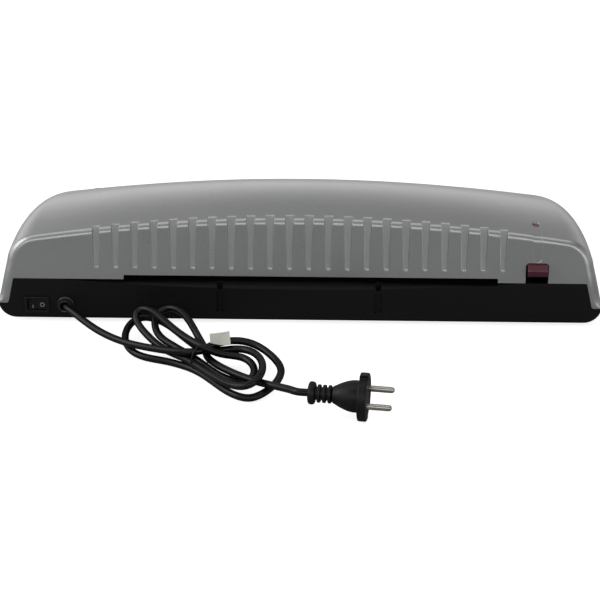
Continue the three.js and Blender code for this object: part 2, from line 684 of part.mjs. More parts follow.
const motorProfile = [[0, 0], [20, 0], [21, 1], [21, 12], [20, 13], [13, 13], [13, 20], [0, 20]];
const motorBody = lathe(motorProfile, 24).rotateZ(-Math.PI / 2);
motorBody.translate(MOTOR_PLATE_X + PLATE_T + GAP + 0.4, PINION_Y, PINION_Z);
addMesh('gear_motor', motorBody, steel);

// ---------------------------------------------------------------- heaters

const HEATER_LOW_X = -166;
const HEATER_HIGH_X = 146;
const HEATER_FRONT_Y = FRONT_Y + ROLLER_R + 1.5;
const HEATER_BACK_Y = BACK_Y - ROLLER_R - 1.5;

/** A flat plate with an upturned rib along each long edge, on one side of the pouch path. */
function heaterShape(side) {
  const z = (offset) => PATH_Z + side * offset;
  return polygon([
    [HEATER_FRONT_Y, z(1.7)], [HEATER_BACK_Y, z(1.7)], [HEATER_BACK_Y, z(10)], [HEATER_BACK_Y - 2.5, z(10)],
    [HEATER_BACK_Y - 2.5, z(5)], [HEATER_FRONT_Y + 2.5, z(5)], [HEATER_FRONT_Y + 2.5, z(10)],
    [HEATER_FRONT_Y, z(10)],
  ]);
}

addMesh('upper_heater_plate', extrudeX(heaterShape(1), HEATER_LOW_X, HEATER_HIGH_X), aluminium);
addMesh('lower_heater_plate', extrudeX(heaterShape(-1), HEATER_LOW_X, HEATER_HIGH_X), aluminium);

const heaterTop = PATH_Z + 5 + GAP;
const thermostatProfile = [[0, 0], [8, 0], [8, 1.2], [6.5, 1.2], [6.5, 8], [0, 8]];
const thermostatBody = lathe(thermostatProfile, 20).rotateX(Math.PI / 2).translate(-40, IDLER_Y, heaterTop);
addMesh('thermostat', thermostatBody, darkPlastic);
addMesh('thermal_fuse', rodX(IDLER_Y, heaterTop + 2.2, 2, 20, 34, 12), nylon);

addMesh('circuit_board', block([178, -62, 10], [216, -30, 11.6]), board);

// ---------------------------------------------------------------- rear controls

const switchFlange = toSolid(block(
  [SWITCH.x - 10.5, HALF_DEPTH + 0.1, SWITCH.z - 7.5],
  [SWITCH.x + 10.5, HALF_DEPTH + 1.6, SWITCH.z + 7.5],
));
const switchCan = toSolid(block(
  [SWITCH.x - 9.3, 53, SWITCH.z - 6.3],
  [SWITCH.x + 9.3, HALF_DEPTH + 0.5, SWITCH.z + 6.3],
));
const switchWell = toSolid(block([SWITCH.x - 7.7, 64, SWITCH.z - 5], [SWITCH.x + 7.7, 80, SWITCH.z + 5]));
addMesh('power_switch_body', toGeometry(switchFlange.add(switchCan).subtract(switchWell)), darkPlastic);

// Drawn in X and Y about the pivot, extruded upwards; the two faces meet in a shallow V.
const rockerShape = polygon([[-7.2, -2], [7.2, -2], [7.2, 4], [0, 2.6], [-7.2, 4]]);
const rockerGeometry = new THREE.ExtrudeGeometry(rockerShape, { depth: 9.4, bevelEnabled: false });
rockerGeometry.translate(0, 0, -4.7);
const rocker = addMesh('power_rocker', rockerGeometry, darkPlastic);
rocker.position.set(SWITCH.x, SWITCH.pivotY, SWITCH.z);
rocker.rotation.z = THREE.MathUtils.degToRad(SWITCH.tilt); // switched off: the O end is pressed in

const reliefProfile = [
  [3.8, -6], [5.2, -6], [5.2, 0.2], [7.4, 0.2], [7.4, 2], [6.4, 3.4], [5.4, 6], [3.8, 6], [3.8, -6],
];
const reliefGeometry = lathe(reliefProfile, 16).translate(RELIEF.x, HALF_DEPTH, RELIEF.z);
addMesh('cord_strain_relief', reliefGeometry, darkPlastic);

/** The lever: a hub round its pin, a rounded knob at the rear and a short arm towards the link. */
function makeLever() {
  const { x, width, pivotY: y, pivotZ: z, pinR } = LEVER;
  const knob = new THREE.Shape();
  knob.moveTo(y, z - 3);
  knob.lineTo(y + 9, z - 3.6);
  knob.lineTo(y + 16, z - 3.6);
  knob.absarc(y + 16, z + 1.3, 4.9, -Math.PI / 2, Math.PI / 2, false);
  knob.lineTo(y + 9, z + 6.2);
  knob.lineTo(y, z + 3.4);
  const bar = toSolid(extrudeX(knob, x - width / 2, x + width / 2, 8));
  const hub = toSolid(rodX(y, z, 4, x - width / 2, x + width / 2, 20));
  const arm = toSolid(block([x - 4, y - 15, z - 1.5], [x + 4, y, z + 1.5]));
  const bore = toSolid(rodX(y, z, pinR + 0.07, x - width, x + width, 16));
  return toGeometry(join([bar, hub, arm]).subtract(bore));
}

addMesh('release_lever', makeLever(), maroon);
addMesh('lever_pin', rodX(LEVER.pivotY, LEVER.pivotZ, LEVER.pinR, LEVER.x - 13.5, LEVER.x + 13.5, 16), steel);

// The link rests on the lever's arm and reaches over to the side frame.
const linkPad = toSolid(block(
  [LEVER.x - 4, LEVER.pivotY - 15.5, LEVER.pivotZ + 1.8],
  [LEVER.x + 4, LEVER.pivotY - 11.5, LEVER.pivotZ + 3.8],
));
const linkBridge = toSolid(block(
  [LEVER.x - 4, LEVER.pivotY - 19, LEVER.pivotZ + 1.8],
  [-184, LEVER.pivotY - 15, LEVER.pivotZ + 3.8],
));
const linkFlag = toSolid(block(
  [-185.5, BACK_Y - 6, UPPER_Z + 5],
  [-184, LEVER.pivotY - 15, LEVER.pivotZ + 12],
));
addMesh('release_link', toGeometry(join([linkPad, linkBridge, linkFlag])), steel);

const indicatorTop = archZ(INDICATOR.x, INDICATOR.y, crownZ(INDICATOR.y));
addMesh(
  'release_indicator',
  postZ(INDICATOR.x, INDICATOR.y, INDICATOR.r - GAP, indicatorTop - 7, indicatorTop - 1.2, 12),
  redLens,
);

// ---------------------------------------------------------------- front controls

const panelGroup = new THREE.Group();
panelGroup.applyMatrix4(PANEL_MATRIX);
group.add(panelGroup);

const BUTTON_X = [-15, -3];
const LENS_X = [8, 16];

function makePanel() {
  const halfL = PANEL.length / 2;
  const halfW = PANEL.width / 2;
  const { depth, proud } = PANEL;
  const plate = toSolid(block([-halfL, -halfW, -depth], [halfL, halfW, proud]));
  const flange = toSolid(block([-halfL - 2, -halfW - 2, -depth - 1.4], [halfL + 2, halfW + 2, -depth + 0.6]));
  const holes = [
    ...BUTTON_X.map((x) => toSolid(postZ(x, 0, 4.2, -9, 9, 20))),
    ...LENS_X.map((x) => toSolid(postZ(x, 0, 2, -9, 9, 12))),
  ];
  return toGeometry(plate.add(flange).subtract(join(holes)));
}

addMesh('control_panel', makePanel(), darkPlastic, panelGroup);
['power', 'mode'].forEach((name, i) => {
  const profile = [[0, -5], [3.9, -5], [3.9, 1.2], [3.4, 1.8], [0, 1.8]];
  const cap = lathe(profile, 20).rotateX(Math.PI / 2).translate(BUTTON_X[i], 0, 0);
  addMesh(`${name}_button`, cap, silver, panelGroup);
});
[['ready_lens', greenLens], ['power_lens', redLens]].forEach(([name, material], i) => {
  const profile = [[0, -4], [1.7, -4], [1.7, 0.4], [1, 0.9], [0, 0.9]];
  const lens = lathe(profile, 12).rotateX(Math.PI / 2).translate(LENS_X[i], 0, 0);
  addMesh(name, lens, material, panelGroup);
});

// ---------------------------------------------------------------- mains cord, coiled behind the machine

/** The coil's frame at a share of its length: 1 at the far end of the right loops, -1 at the left. */
function coilFrame(along) {
  const angle = THREE.MathUtils.degToRad(140 + 12 * Math.min(0, along) + 6 * Math.max(0, along));
  const forward = new THREE.Vector3(Math.cos(angle), Math.sin(angle), 0);
  return { forward, near: new THREE.Vector3(forward.y, -forward.x, 0) };
}

/** A place in the tied coil: loops that are pinched together where the tie holds them. */
function coilPoint(phase, z) {
  const along = Math.cos(phase);
  const across = Math.sin(phase);
  const { forward, near } = coilFrame(along);
  const length = along > 0 ? COIL.rightLength : COIL.leftLength;
  const fan = Math.abs(along) ** 1.3;
  return new THREE.Vector3(COIL.x, COIL.y, z)
    .addScaledVector(forward, length * along)
    .addScaledVector(near, (COIL.halfWidth * fan + 3.5) * across);
}

const plugAxis = new THREE.Vector3(
  Math.cos(THREE.MathUtils.degToRad(PLUG.yaw)),
  Math.sin(THREE.MathUtils.degToRad(PLUG.yaw)),
  0,
);
const plugEnd = new THREE.Vector3(PLUG.x, PLUG.y, PLUG.z);

/** From inside the strain relief, down to the table, round the coil and on to the plug. */
function cordPath() {
  const points = [
    [RELIEF.x, 60, RELIEF.z], [RELIEF.x, 70, RELIEF.z], [RELIEF.x, 79, RELIEF.z], [190, 90, 13.5],
    [176, 100, 9.5], [158, 114, 7], [140, 127, COIL.z],
  ].map((p) => new THREE.Vector3(...p));
  const startPhase = 0.72 * Math.PI;
  const stepsPerTurn = 16;
  for (let i = 0; i <= COIL.turns * stepsPerTurn; i += 1) {
    const turned = i / stepsPerTurn;
    points.push(coilPoint(startPhase - turned * 2 * Math.PI, COIL.z + COIL.pitch * turned));
  }
  points.push(plugEnd.clone().addScaledVector(plugAxis, -14));
  points.push(plugEnd.clone().addScaledVector(plugAxis, -3));
  points.push(plugEnd.clone().addScaledVector(plugAxis, 4));
  return new THREE.CatmullRomCurve3(points, false, 'centripetal');
}

addMesh(
  'power_cord',
  new THREE.ExtrudeGeometry(circle(0, 0, CORD_R, CORD_SIDES), { steps: 120, extrudePath: cordPath() }),
  cordPvc,
);

/** The plug: a collar and ribs for the cord, a bulb to grip, and a round flange with two cut-outs. */
function makePlug() {
  const profile = [
    [0, 0], [8, 0], [8.8, 1.5], [8.8, 4], [8, 5.4], [4.8, 5.4], [4.8, 7], [6.4, 7], [6.4, 9.4], [4.8, 9.4],
    [4.8, 11], [6.4, 11], [6.4, 13.4], [4.8, 13.4], [4.8, 15], [6.4, 15], [6.4, 17.4], [5.4, 19], [8.6, 21],
    [11.6, 25], [11.6, 31], [10, 35.6], [PLUG.flangeR, 35.6], [PLUG.flangeR, 42.4], [0, 42.4],
  ];
  const cuts = [
    toSolid(lathe([[0, -1], [3.6, -1], [3.6, 6], [0, 6]], 12)),
    ...[-1, 1].map((side) => toSolid(block([-4, 35, side * 17.5 - 2.5], [4, 44, side * 17.5 + 2.5]))),
    ...[-1, 1].map((side) => toSolid(
      lathe([[0, 35], [2.7, 35], [2.7, 44], [0, 44]], 14).translate((side * PLUG.pinSpacing) / 2, 0, 0),
    )),
  ];
  return toGeometry(toSolid(lathe(profile, 22)).subtract(join(cuts)));
}

const roll = THREE.MathUtils.degToRad(PLUG.roll);
const pinLine = new THREE.Vector3(-plugAxis.y, plugAxis.x, 0).multiplyScalar(Math.cos(roll));
pinLine.z = Math.sin(roll);
const plugGroup = new THREE.Group();
plugGroup.applyMatrix4(new THREE.Matrix4()
  .makeBasis(pinLine, plugAxis, pinLine.clone().cross(plugAxis))
  .setPosition(plugEnd));
group.add(plugGroup);
addMesh('plug_body', makePlug(), cordPvc, plugGroup);
for (const [i, side] of [-1, 1].entries()) {
  const profile = [[0, 35.5], [PLUG.pinR, 35.5], [PLUG.pinR, 60.2], [1.6, 61.4], [0, 61.4]];
  const pin = lathe(profile, 14).translate((side * PLUG.pinSpacing) / 2, 0, 0);
  addMesh(`plug_pin_${i + 1}`, pin, nickel, plugGroup);
}

/** The wire loop round the middle of the coil, with its twisted ends. */
function makeTie() {
  const { forward, near } = coilFrame(0);
  const loopHalf = 9.6;
  const lowZ = COIL.z + 3.9;
  const highZ = COIL.z + COIL.pitch * (COIL.turns - 0.1) - 1.5;
  const arcSteps = 8;
  const path = [];
  for (const [middle, from] of [[highZ, 0], [lowZ, Math.PI]]) {
    for (let i = 0; i <= arcSteps; i += 1) {
      const angle = from + (Math.PI * i) / arcSteps;
      path.push({ v: Math.cos(angle), w: Math.sin(angle), middle });
    }
  }
  const sides = 6;
  const rings = path.map(({ v, w, middle }) => {
    const ring = [];
    for (let i = 0; i < sides; i += 1) {
      const angle = (2 * Math.PI * i) / sides;
      const reach = loopHalf + TIE_WIRE_R * Math.cos(angle);
      const place = new THREE.Vector3(COIL.x, COIL.y, middle + w * reach)
        .addScaledVector(near, v * reach)
        .addScaledVector(forward, TIE_WIRE_R * Math.sin(angle));
      ring.push(place.toArray());
    }
    return ring;
  });
  const tailStart = new THREE.Vector3(COIL.x, COIL.y, highZ - 4).addScaledVector(near, -loopHalf);
  const tailEnd = tailStart.clone().addScaledVector(near, -7).add(new THREE.Vector3(0, 0, 1));
  const tail = new THREE.ExtrudeGeometry(circle(0, 0, 0.9, 8), {
    steps: 1,
    extrudePath: new THREE.LineCurve3(tailStart, tailEnd),
  });
  return toGeometry(toSolid(loft(rings, true)).add(toSolid(tail)));
}

addMesh('twist_tie', makeTie(), cordPvc);

const tagGroup = new THREE.Group();
const { near: tagSide } = coilFrame(0);
tagGroup.position.set(COIL.x, COIL.y, COIL.z + 14).addScaledVector(tagSide, -22);
tagGroup.rotation.z = Math.atan2(tagSide.y, tagSide.x) + 0.5;
group.add(tagGroup);
addMesh('twist_tie_tag', new THREE.BoxGeometry(13, 0.5, 9), paper, tagGroup);

group.position.y = -ORIGIN_Y;
export default group;
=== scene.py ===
"""Looks of a pouch laminator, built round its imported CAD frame.

The machine's rear, where the pouch comes out, faces +Y. Shapes are drawn in millimetres from the middle of
the base's footprint on the table, and moved into the frame's metres when each piece is made.
"""

import math
from contextlib import contextmanager

import bmesh
import bpy
import numpy as np
from mathutils import Matrix, Vector
from mathutils.bvhtree import BVHTree


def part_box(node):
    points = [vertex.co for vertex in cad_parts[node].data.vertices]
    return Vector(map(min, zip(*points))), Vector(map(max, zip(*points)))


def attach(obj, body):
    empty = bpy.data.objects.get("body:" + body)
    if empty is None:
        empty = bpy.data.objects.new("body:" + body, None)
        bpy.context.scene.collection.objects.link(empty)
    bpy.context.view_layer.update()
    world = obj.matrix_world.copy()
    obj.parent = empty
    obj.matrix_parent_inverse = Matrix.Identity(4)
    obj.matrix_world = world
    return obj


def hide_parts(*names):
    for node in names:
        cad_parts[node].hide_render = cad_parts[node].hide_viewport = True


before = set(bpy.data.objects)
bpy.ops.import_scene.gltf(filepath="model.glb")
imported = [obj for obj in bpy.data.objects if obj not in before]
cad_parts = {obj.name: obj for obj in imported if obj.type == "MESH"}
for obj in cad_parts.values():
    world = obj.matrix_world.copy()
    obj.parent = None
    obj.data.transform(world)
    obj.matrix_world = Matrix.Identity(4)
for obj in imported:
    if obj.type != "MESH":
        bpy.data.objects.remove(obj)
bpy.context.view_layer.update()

# ------------------------------------------------------------------ driving dimensions, in mm

MM = 0.001
BASE_LOW, BASE_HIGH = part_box("base_housing")
MACHINE = Vector(((BASE_LOW.x + BASE_HIGH.x) / 2, (BASE_LOW.y + BASE_HIGH.y) / 2, 0))
TO_FRAME = Matrix.Translation(MACHINE) @ Matrix.Scale(MM, 4)

HALF_WIDTH = 253
HALF_DEPTH = 72
BOTTOM_Z = 3
PARTING_Z = 39.7
PARTING_HALF = 238.5
LEG_Z = 17
LEG_INNER_X = 244
LEG_TIP_R = 2.2
WALL = 2.5
GAP = 0.3
PLAN_TAPER = 0.091
WIDEST_Y = 66

ARCH_TOP_Z = 92.1
ARCH_DROP = 0.00033
ARCH_HALF = 221.5
SHOULDER_R = 27
CORNER_R = 15
SIDE_LEAN = math.radians(7.8)
RIDGE_TOP_R, RIDGE_SIDE_R = 5, 8.3
BASE_EDGE_R = 2.5
FRONT_R = 3
REAR_LEAN = math.radians(9.5)
RIDGE_Y, RIDGE_SLOPE = 59.5, 0.3
BROW_Y, BROW_SLOPE = -57, 0.52
NOSE_Y, NOSE_FOOT_Z = -70.5, 47

GROOVES = 22
GROOVE_PITCH = 16.06
GROOVE_FOOT = Vector((0, 68.7, 48.6))
GROOVE_LEAN_DEGREES = 15.4
GROOVE_FOOT_HALF = 2
GROOVE_TOP_HALF = 4.2
GROOVE_LENGTH = 62
GROOVE_BACKING = 1.6
EDGE_ROUND = 0.45

SLOT_CENTRE_X = -9.4
SLOT_LENGTH = 311.2
SLOT_FLOOR_Z, SLOT_TOP_Z = 37, 43.5
LIP_CENTRE_X = 6.9
LIP_HALF = 196.6
LIP_DIP = 7.5
LIP_INNER_Y = 62
NOTCH_X = 66

SWITCH_X, SWITCH_Z, SWITCH_PIVOT_Y = 220, 15.7, 69
SWITCH_TILT = 8
RELIEF_X, RELIEF_Z = 195.8, 16.5
LEVER_X, LEVER_WIDTH, LEVER_Y, LEVER_Z = -197.1, 16.4, 56, 50
WINDOW_TOP, WINDOW_WIDTH, WINDOW_R = 56.6, 18.6, 2.6
MARKER_X, MARKER_Y, MARKER_R = -196.2, 46, 2.9
MARKER_GROOVE_FOOT_Z = 58.5
PANEL_X, PANEL_SHARE, PANEL_LENGTH, PANEL_WIDTH, PANEL_DEPTH = 166, 0.5, 44, 12, 7.8
BOSS_X, BOSS_Y, SCREW_HOLE_R = 222, 30, 1.9

CORD_R = 3
PLUG_END = Vector((-14, 227, 18.9))
PLUG_YAW = math.radians(172)
PLUG_AXIS = Vector((math.cos(PLUG_YAW), math.sin(PLUG_YAW), 0))
PLUG_ROLL = math.radians(17)
PIN_SPACING = 19

X_AXIS, Y_AXIS, Z_AXIS = Vector((1, 0, 0)), Vector((0, 1, 0)), Vector((0, 0, 1))
# Longer than any distance from a cutter's plane to the cover's surface.
REACH = 90

# ------------------------------------------------------------------ mesh tools


def clamp(value, low, high):
    return max(low, min(high, value))


@contextmanager
def editing(mesh):
    """Opens a mesh for editing and writes the result back to it."""
    work = bmesh.new()
    work.from_mesh(mesh)
    yield work
    work.to_mesh(mesh)
    work.free()


def mesh_from(points, faces):
    """A mesh, in mm, whose faces all point outwards."""
    mesh = bpy.data.meshes.new("work")
    mesh.from_pydata([tuple(p) for p in points], [], faces)
    with editing(mesh) as work:
        bmesh.ops.remove_doubles(work, verts=work.verts, dist=1e-5)
        bmesh.ops.recalc_face_normals(work, faces=work.faces)
    return mesh


def loft(rings, loop=False, caps="paired"):
    """Skins rings of equal count. Ends are capped across, point i to point n-1-i, or with one face each."""
    count = len(rings[0])
    points = [p for ring in rings for p in ring]
    faces = []
    for r in range(len(rings) if loop else len(rings) - 1):
        here, there = r * count, ((r + 1) % len(rings)) * count
        for i in range(count):
            j = (i + 1) % count
            faces.append((here + i, here + j, there + j, there + i))
    if not loop:
        for start in (0, (len(rings) - 1) * count):
            if caps == "paired":
                for i in range(count // 2 - 1):
                    j = count - 1 - i
                    faces.append((start + i, start + i + 1, start + j - 1, start + j))
            else:
                faces.append(tuple(range(start, start + count)))
    return mesh_from(points, faces)


def prism(outline, to_point, low, high):
    """Extrudes a flat outline; to_point(u, v, w) gives the place of outline point (u, v) at depth w."""
    rings = [[to_point(u, v, w) for u, v in outline] for w in (low, high)]
    return loft(rings, caps="face")


def along_x(u, v, w):
    return (w, u, v)


def along_y(u, v, w):
    return (u, w, v)


def along_z(u, v, w):
    return (u, v, w)


def box(low, high):
    outline = [(low[0], low[1]), (high[0], low[1]), (high[0], high[1]), (low[0], high[1])]
    return prism(outline, along_z, low[2], high[2])


def arc(cx, cy, radius, start, end, steps):
    """Points on an arc, angles in degrees."""
    angles = [math.radians(start + (end - start) * i / steps) for i in range(steps + 1)]
    return [(cx + radius * math.cos(a), cy + radius * math.sin(a)) for a in angles]


def circle(cx, cy, radius, steps):
    return arc(cx, cy, radius, 0, 360, steps)[:-1]


def rounded_rectangle(cx, cy, half_u, half_v, radius, steps=5):
    points = []
    for su, sv, start in ((1, 1, 0), (-1, 1, 90), (-1, -1, 180), (1, -1, 270)):
        corner_u, corner_v = cx + su * (half_u - radius), cy + sv * (half_v - radius)
        points += arc(corner_u, corner_v, radius, start, start + 90, steps)
    return points


def turned(profile, steps):
    """Copies of (radius, height) pairs, turned round local Y."""
    angles = [2 * math.pi * i / steps for i in range(steps)]
    return [[(r * math.cos(a), h, r * math.sin(a)) for r, h in profile] for a in angles]


def lathe(profile, steps=48):
    """Turns (radius, height) pairs that start and end on the axis round local Y."""
    count = len(profile)
    points = [p for ring in turned(profile, steps) for p in ring]
    faces = []
    for s in range(steps):
        here, there = s * count, ((s + 1) % steps) * count
        for i in range(count - 1):
            faces.append((here + i, here + i + 1, there + i + 1, there + i))
    mesh = mesh_from(points, faces)
    with editing(mesh) as work:
        # The faces at the two poles have collapsed.
        bmesh.ops.dissolve_degenerate(work, edges=work.edges, dist=1e-6)
        bmesh.ops.recalc_face_normals(work, faces=work.faces)
    return mesh


def ring_lathe(profile, steps=48):
    """Turns a closed (radius, height) outline that stays off the axis round local Y."""
    return loft(turned(profile, steps), loop=True)


def moved(mesh, matrix):
    mesh.transform(matrix)
    return mesh


def shift(x, y, z):
    return Matrix.Translation((x, y, z))


def spin(degrees, axis):
    return Matrix.Rotation(math.radians(degrees), 4, axis)


# Stands a form that was turned round Y up along +Z.
UPRIGHT = spin(90, "X")


def bevelled(mesh, width, segments=3, above=30):
    """Rounds the edges where two faces meet at more than an angle."""
    limit = math.radians(above)
    with editing(mesh) as work:
        sharp = [e for e in work.edges if e.is_manifold and e.calc_face_angle(0) > limit]
        bmesh.ops.bevel(
            work, geom=sharp, offset=width, segments=segments, profile=0.5, affect="EDGES", clamp_overlap=True
        )
        bmesh.ops.recalc_face_normals(work, faces=work.faces)
    return mesh


def joined(meshes):
    """Several separate bodies in one mesh."""
    work = bmesh.new()
    for mesh in meshes:
        work.from_mesh(mesh)
    whole = bpy.data.meshes.new("work")
    work.to_mesh(whole)
    work.free()
    return whole


def placed(name, data):
    """A new object in the scene."""
    obj = bpy.data.objects.new(name, data)
    bpy.context.scene.collection.objects.link(obj)
    return obj


def combined(target, tool, operation):
    """The two meshes united, intersected, or with the tool cut away."""
    objects = [placed("work", mesh) for mesh in (target, tool)]
    modifier = objects[0].modifiers.new("boolean", "BOOLEAN")
    modifier.operation = operation
    modifier.object = objects[1]
    modifier.solver = "EXACT"
    graph = bpy.context.evaluated_depsgraph_get()
    result = bpy.data.meshes.new_from_object(objects[0].evaluated_get(graph))
    for obj in objects:
        bpy.data.objects.remove(obj)
    return result


def cut(target, *tools):
    for tool in tools:
        target = combined(target, tool, "DIFFERENCE")
    return target


def add(target, *tools):
    for tool in tools:
        target = combined(target, tool, "UNION")
    return target


def smooth_shaded(mesh, above=38):
    """Smooth faces, with edges sharper than an angle left crisp."""
    limit = math.radians(above)
    with editing(mesh) as work:
        for face in work.faces:
            face.smooth = True
        for edge in work.edges:
            edge.smooth = edge.is_manifold and edge.calc_face_angle(0) < limit
    return mesh


def piece(name, mesh, slot, replaces=(), body="root", above=38, material=None):
    """Puts a mesh drawn in mm into the frame as a finished piece that rides on a body."""
    mesh = moved(mesh, TO_FRAME)
    mesh.name = name
    mesh.materials.clear()
    mesh.materials.append(material or MATERIALS[slot])
    obj = placed(name, smooth_shaded(mesh, above))
    weighted = obj.modifiers.new("weighted_normals", "WEIGHTED_NORMAL")
    weighted.keep_sharp = True
    weighted.weight = 60
    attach(obj, body)
    if replaces:
        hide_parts(*replaces)
    return obj


def spline(points, per_span=8):
    """Points along a centripetal Catmull-Rom curve."""
    points = [Vector(p) for p in points]
    ends = [2 * points[0] - points[1], *points, 2 * points[-1] - points[-2]]
    result = []
    for i in range(1, len(ends) - 2):
        p0, p1, p2, p3 = ends[i - 1:i + 3]
        knots = [0.0]
        for a, b in ((p0, p1), (p1, p2), (p2, p3)):
            knots.append(knots[-1] + math.sqrt((b - a).length) + 1e-6)
        t0, t1, t2, t3 = knots
        for k in range(per_span):
            t = t1 + (t2 - t1) * k / per_span
            a1 = p0.lerp(p1, (t - t0) / (t1 - t0))
            a2 = p1.lerp(p2, (t - t1) / (t2 - t1))
            a3 = p2.lerp(p3, (t - t2) / (t3 - t2))
            b1 = a1.lerp(a2, (t - t0) / (t2 - t0))
            b2 = a2.lerp(a3, (t - t1) / (t3 - t1))
            result.append(b1.lerp(b2, (t - t1) / (t2 - t1)))
    result.append(points[-1])
    return result


def sweep(path, radius, sides=12, loop=False):
    """A round rod along a path, with frames carried along so that it doesn't twist."""
    count = len(path)
    tangents = []
    for i in range(count):
        ahead = path[(i + 1) % count] if loop else path[min(i + 1, count - 1)]
        behind = path[i - 1] if loop or i > 0 else path[0]
        tangents.append((ahead - behind).normalized())
    side = tangents[0].orthogonal().normalized()
    rings = []
    for point, tangent in zip(path, tangents):
        side = (side - tangent * side.dot(tangent)).normalized()
        other = tangent.cross(side)
        ring = []
        for k in range(sides):
            angle = 2 * math.pi * k / sides
            ring.append(point + radius * (math.cos(angle) * side + math.sin(angle) * other))
        rings.append(ring)
    return loft(rings, loop=loop, caps="face")


# ------------------------------------------------------------------ materials


class Nodes:
    """A short way to write the nodes of a new material or world."""

    def __init__(self, name, kind="materials", shader="Principled BSDF"):
        self.owner = getattr(bpy.data, kind).new(name)
        self.owner.use_nodes = True
        self.tree = self.owner.node_tree
        self.shader = self.tree.nodes[shader]
        self.place = self.node("ShaderNodeTexCoord").outputs["Object"]

    def node(self, kind, **inputs):
        made = self.tree.nodes.new(kind)
        for key, value in inputs.items():
            self.put(made.inputs[key.replace("_", " ")], value)
        return made

    def put(self, socket, value):
        if isinstance(value, bpy.types.NodeSocket):
            self.tree.links.new(value, socket)
        else:
            socket.default_value = value

    def set(self, **inputs):
        for key, value in inputs.items():
            self.put(self.shader.inputs[key.replace("_", " ")], value)

    def noise(self, scale, detail=3, roughness=0.5, place=None):
        return self.node(
            "ShaderNodeTexNoise", Vector=place or self.place, Scale=scale, Detail=detail, Roughness=roughness
        ).outputs["Fac"]

    def cells(self, scale, place=None):
        return self.node("ShaderNodeTexVoronoi", Vector=place or self.place, Scale=scale)

    def stretch(self, scale):
        """The object's coordinates, scaled along each axis."""
        return self.node("ShaderNodeMapping", Vector=self.place, Scale=scale).outputs["Vector"]

    def span(self, value, low, high, start=0.0, end=1.0, shape="LINEAR"):
        """Maps a value running from start to end onto low to high."""
        ends = {"From_Min": start, "From_Max": end, "To_Min": low, "To_Max": high}
        node = self.node("ShaderNodeMapRange", Value=value, **ends)
        node.interpolation_type = shape
        return node.outputs["Result"]

    def mix(self, factor, first, second):
        node = self.tree.nodes.new("ShaderNodeMix")
        node.data_type = "RGBA"
        for index, value in ((0, factor), (6, first), (7, second)):
            self.put(node.inputs[index], value)
        return node.outputs[2]

    def clouded(self, pattern, colour, dark, pale):
        """A colour that drifts between a darker and a paler tone, as a pattern does."""
        return self.mix(self.span(pattern, 0.0, 1.0, 0.3, 0.7), scaled(colour, dark), scaled(colour, pale))

    def math(self, operation, first, second):
        node = self.tree.nodes.new("ShaderNodeMath")
        node.operation = operation
        self.put(node.inputs[0], first)
        self.put(node.inputs[1], second)
        return node.outputs[0]

    def sum(self, first, *others):
        for other in others:
            first = self.math("ADD", first, other)
        return first

    def bump(self, height, distance, strength=1.0):
        node = self.node("ShaderNodeBump", Height=height, Distance=distance, Strength=strength)
        self.set(Normal=node.outputs["Normal"])

    def edge_highlight_mask(self, radius=0.0006):
        """About 1 on convex edges and 0 on flat faces; the mask along which a highlight is painted."""
        bevel = self.node("ShaderNodeBevel", Radius=radius)
        bevel.samples = 4
        flat = self.node("ShaderNodeNewGeometry").outputs["Normal"]
        dot = self.tree.nodes.new("ShaderNodeVectorMath")
        dot.operation = "DOT_PRODUCT"
        self.put(dot.inputs[0], bevel.outputs["Normal"])
        self.put(dot.inputs[1], flat)
        return self.span(dot.outputs["Value"], 1.0, 0.0, 0.75, 0.995)


def rgb(red, green, blue):
    return (red, green, blue, 1.0)


def scaled(colour, factor):
    return rgb(*[min(1.0, c * factor) for c in colour[:3]])


def silver_paint(name):
    """Fine metallic paint over moulded plastic: flakes, a faint orange peel and a highlight painted along the
    edges.
    """
    n = Nodes(name)
    flakes = n.cells(2600)
    patches = n.noise(9, detail=4)
    base = n.mix(n.span(patches, 0.0, 1.0, 0.3, 0.7), rgb(0.50, 0.51, 0.515), rgb(0.545, 0.55, 0.55))
    fleck = n.mix(n.span(flakes.outputs["Color"], 0.0, 0.55), base, rgb(0.66, 0.67, 0.675))
    # A painted highlight: the colour is made brighter along the edges, where the rounded lips catch the
    # light.
    edge_lit = n.mix(n.span(n.edge_highlight_mask(), 0.0, 0.35), fleck, rgb(0.80, 0.81, 0.82))
    n.set(Base_Color=edge_lit, Metallic=0.72)
    gloss = n.span(n.noise(38, detail=5), 0.24, 0.32)
    n.set(Roughness=n.sum(gloss, n.span(flakes.outputs["Color"], 0.0, 0.06)))
    n.set(Coat_Weight=0.18, Coat_Roughness=0.22)
    peel = n.noise(420, detail=2)
    n.bump(n.sum(peel, n.span(flakes.outputs["Distance"], 0.0, 0.5)), 0.00001, 0.35)
    return n.owner


def textured_plastic(name, colour, roughness, grain=1500, depth=0.00004, edge_highlight=0.5):
    """Moulded plastic with a spark-eroded grain, cloudy gloss and a highlight painted paler along the edges.
    """
    n = Nodes(name)
    pits = n.cells(grain)
    grain_height = n.sum(pits.outputs["Distance"], n.noise(grain * 0.7, detail=4))
    tone = n.clouded(n.noise(14, detail=5), colour, 0.86, 1.18)
    tone = n.mix(n.span(pits.outputs["Distance"], 0.0, 0.35), tone, scaled(colour, 1.5))
    # A painted highlight: the colour turns paler along the edges, as lit edges look.
    n.set(Base_Color=n.mix(n.span(n.edge_highlight_mask(0.0004), 0.0, edge_highlight), tone, scaled(colour, 3.0)))
    n.set(Roughness=n.span(n.noise(60, detail=5), roughness - 0.06, roughness + 0.08))
    n.set(Specular_IOR_Level=0.35)
    n.bump(grain_height, depth, 0.6)
    return n.owner


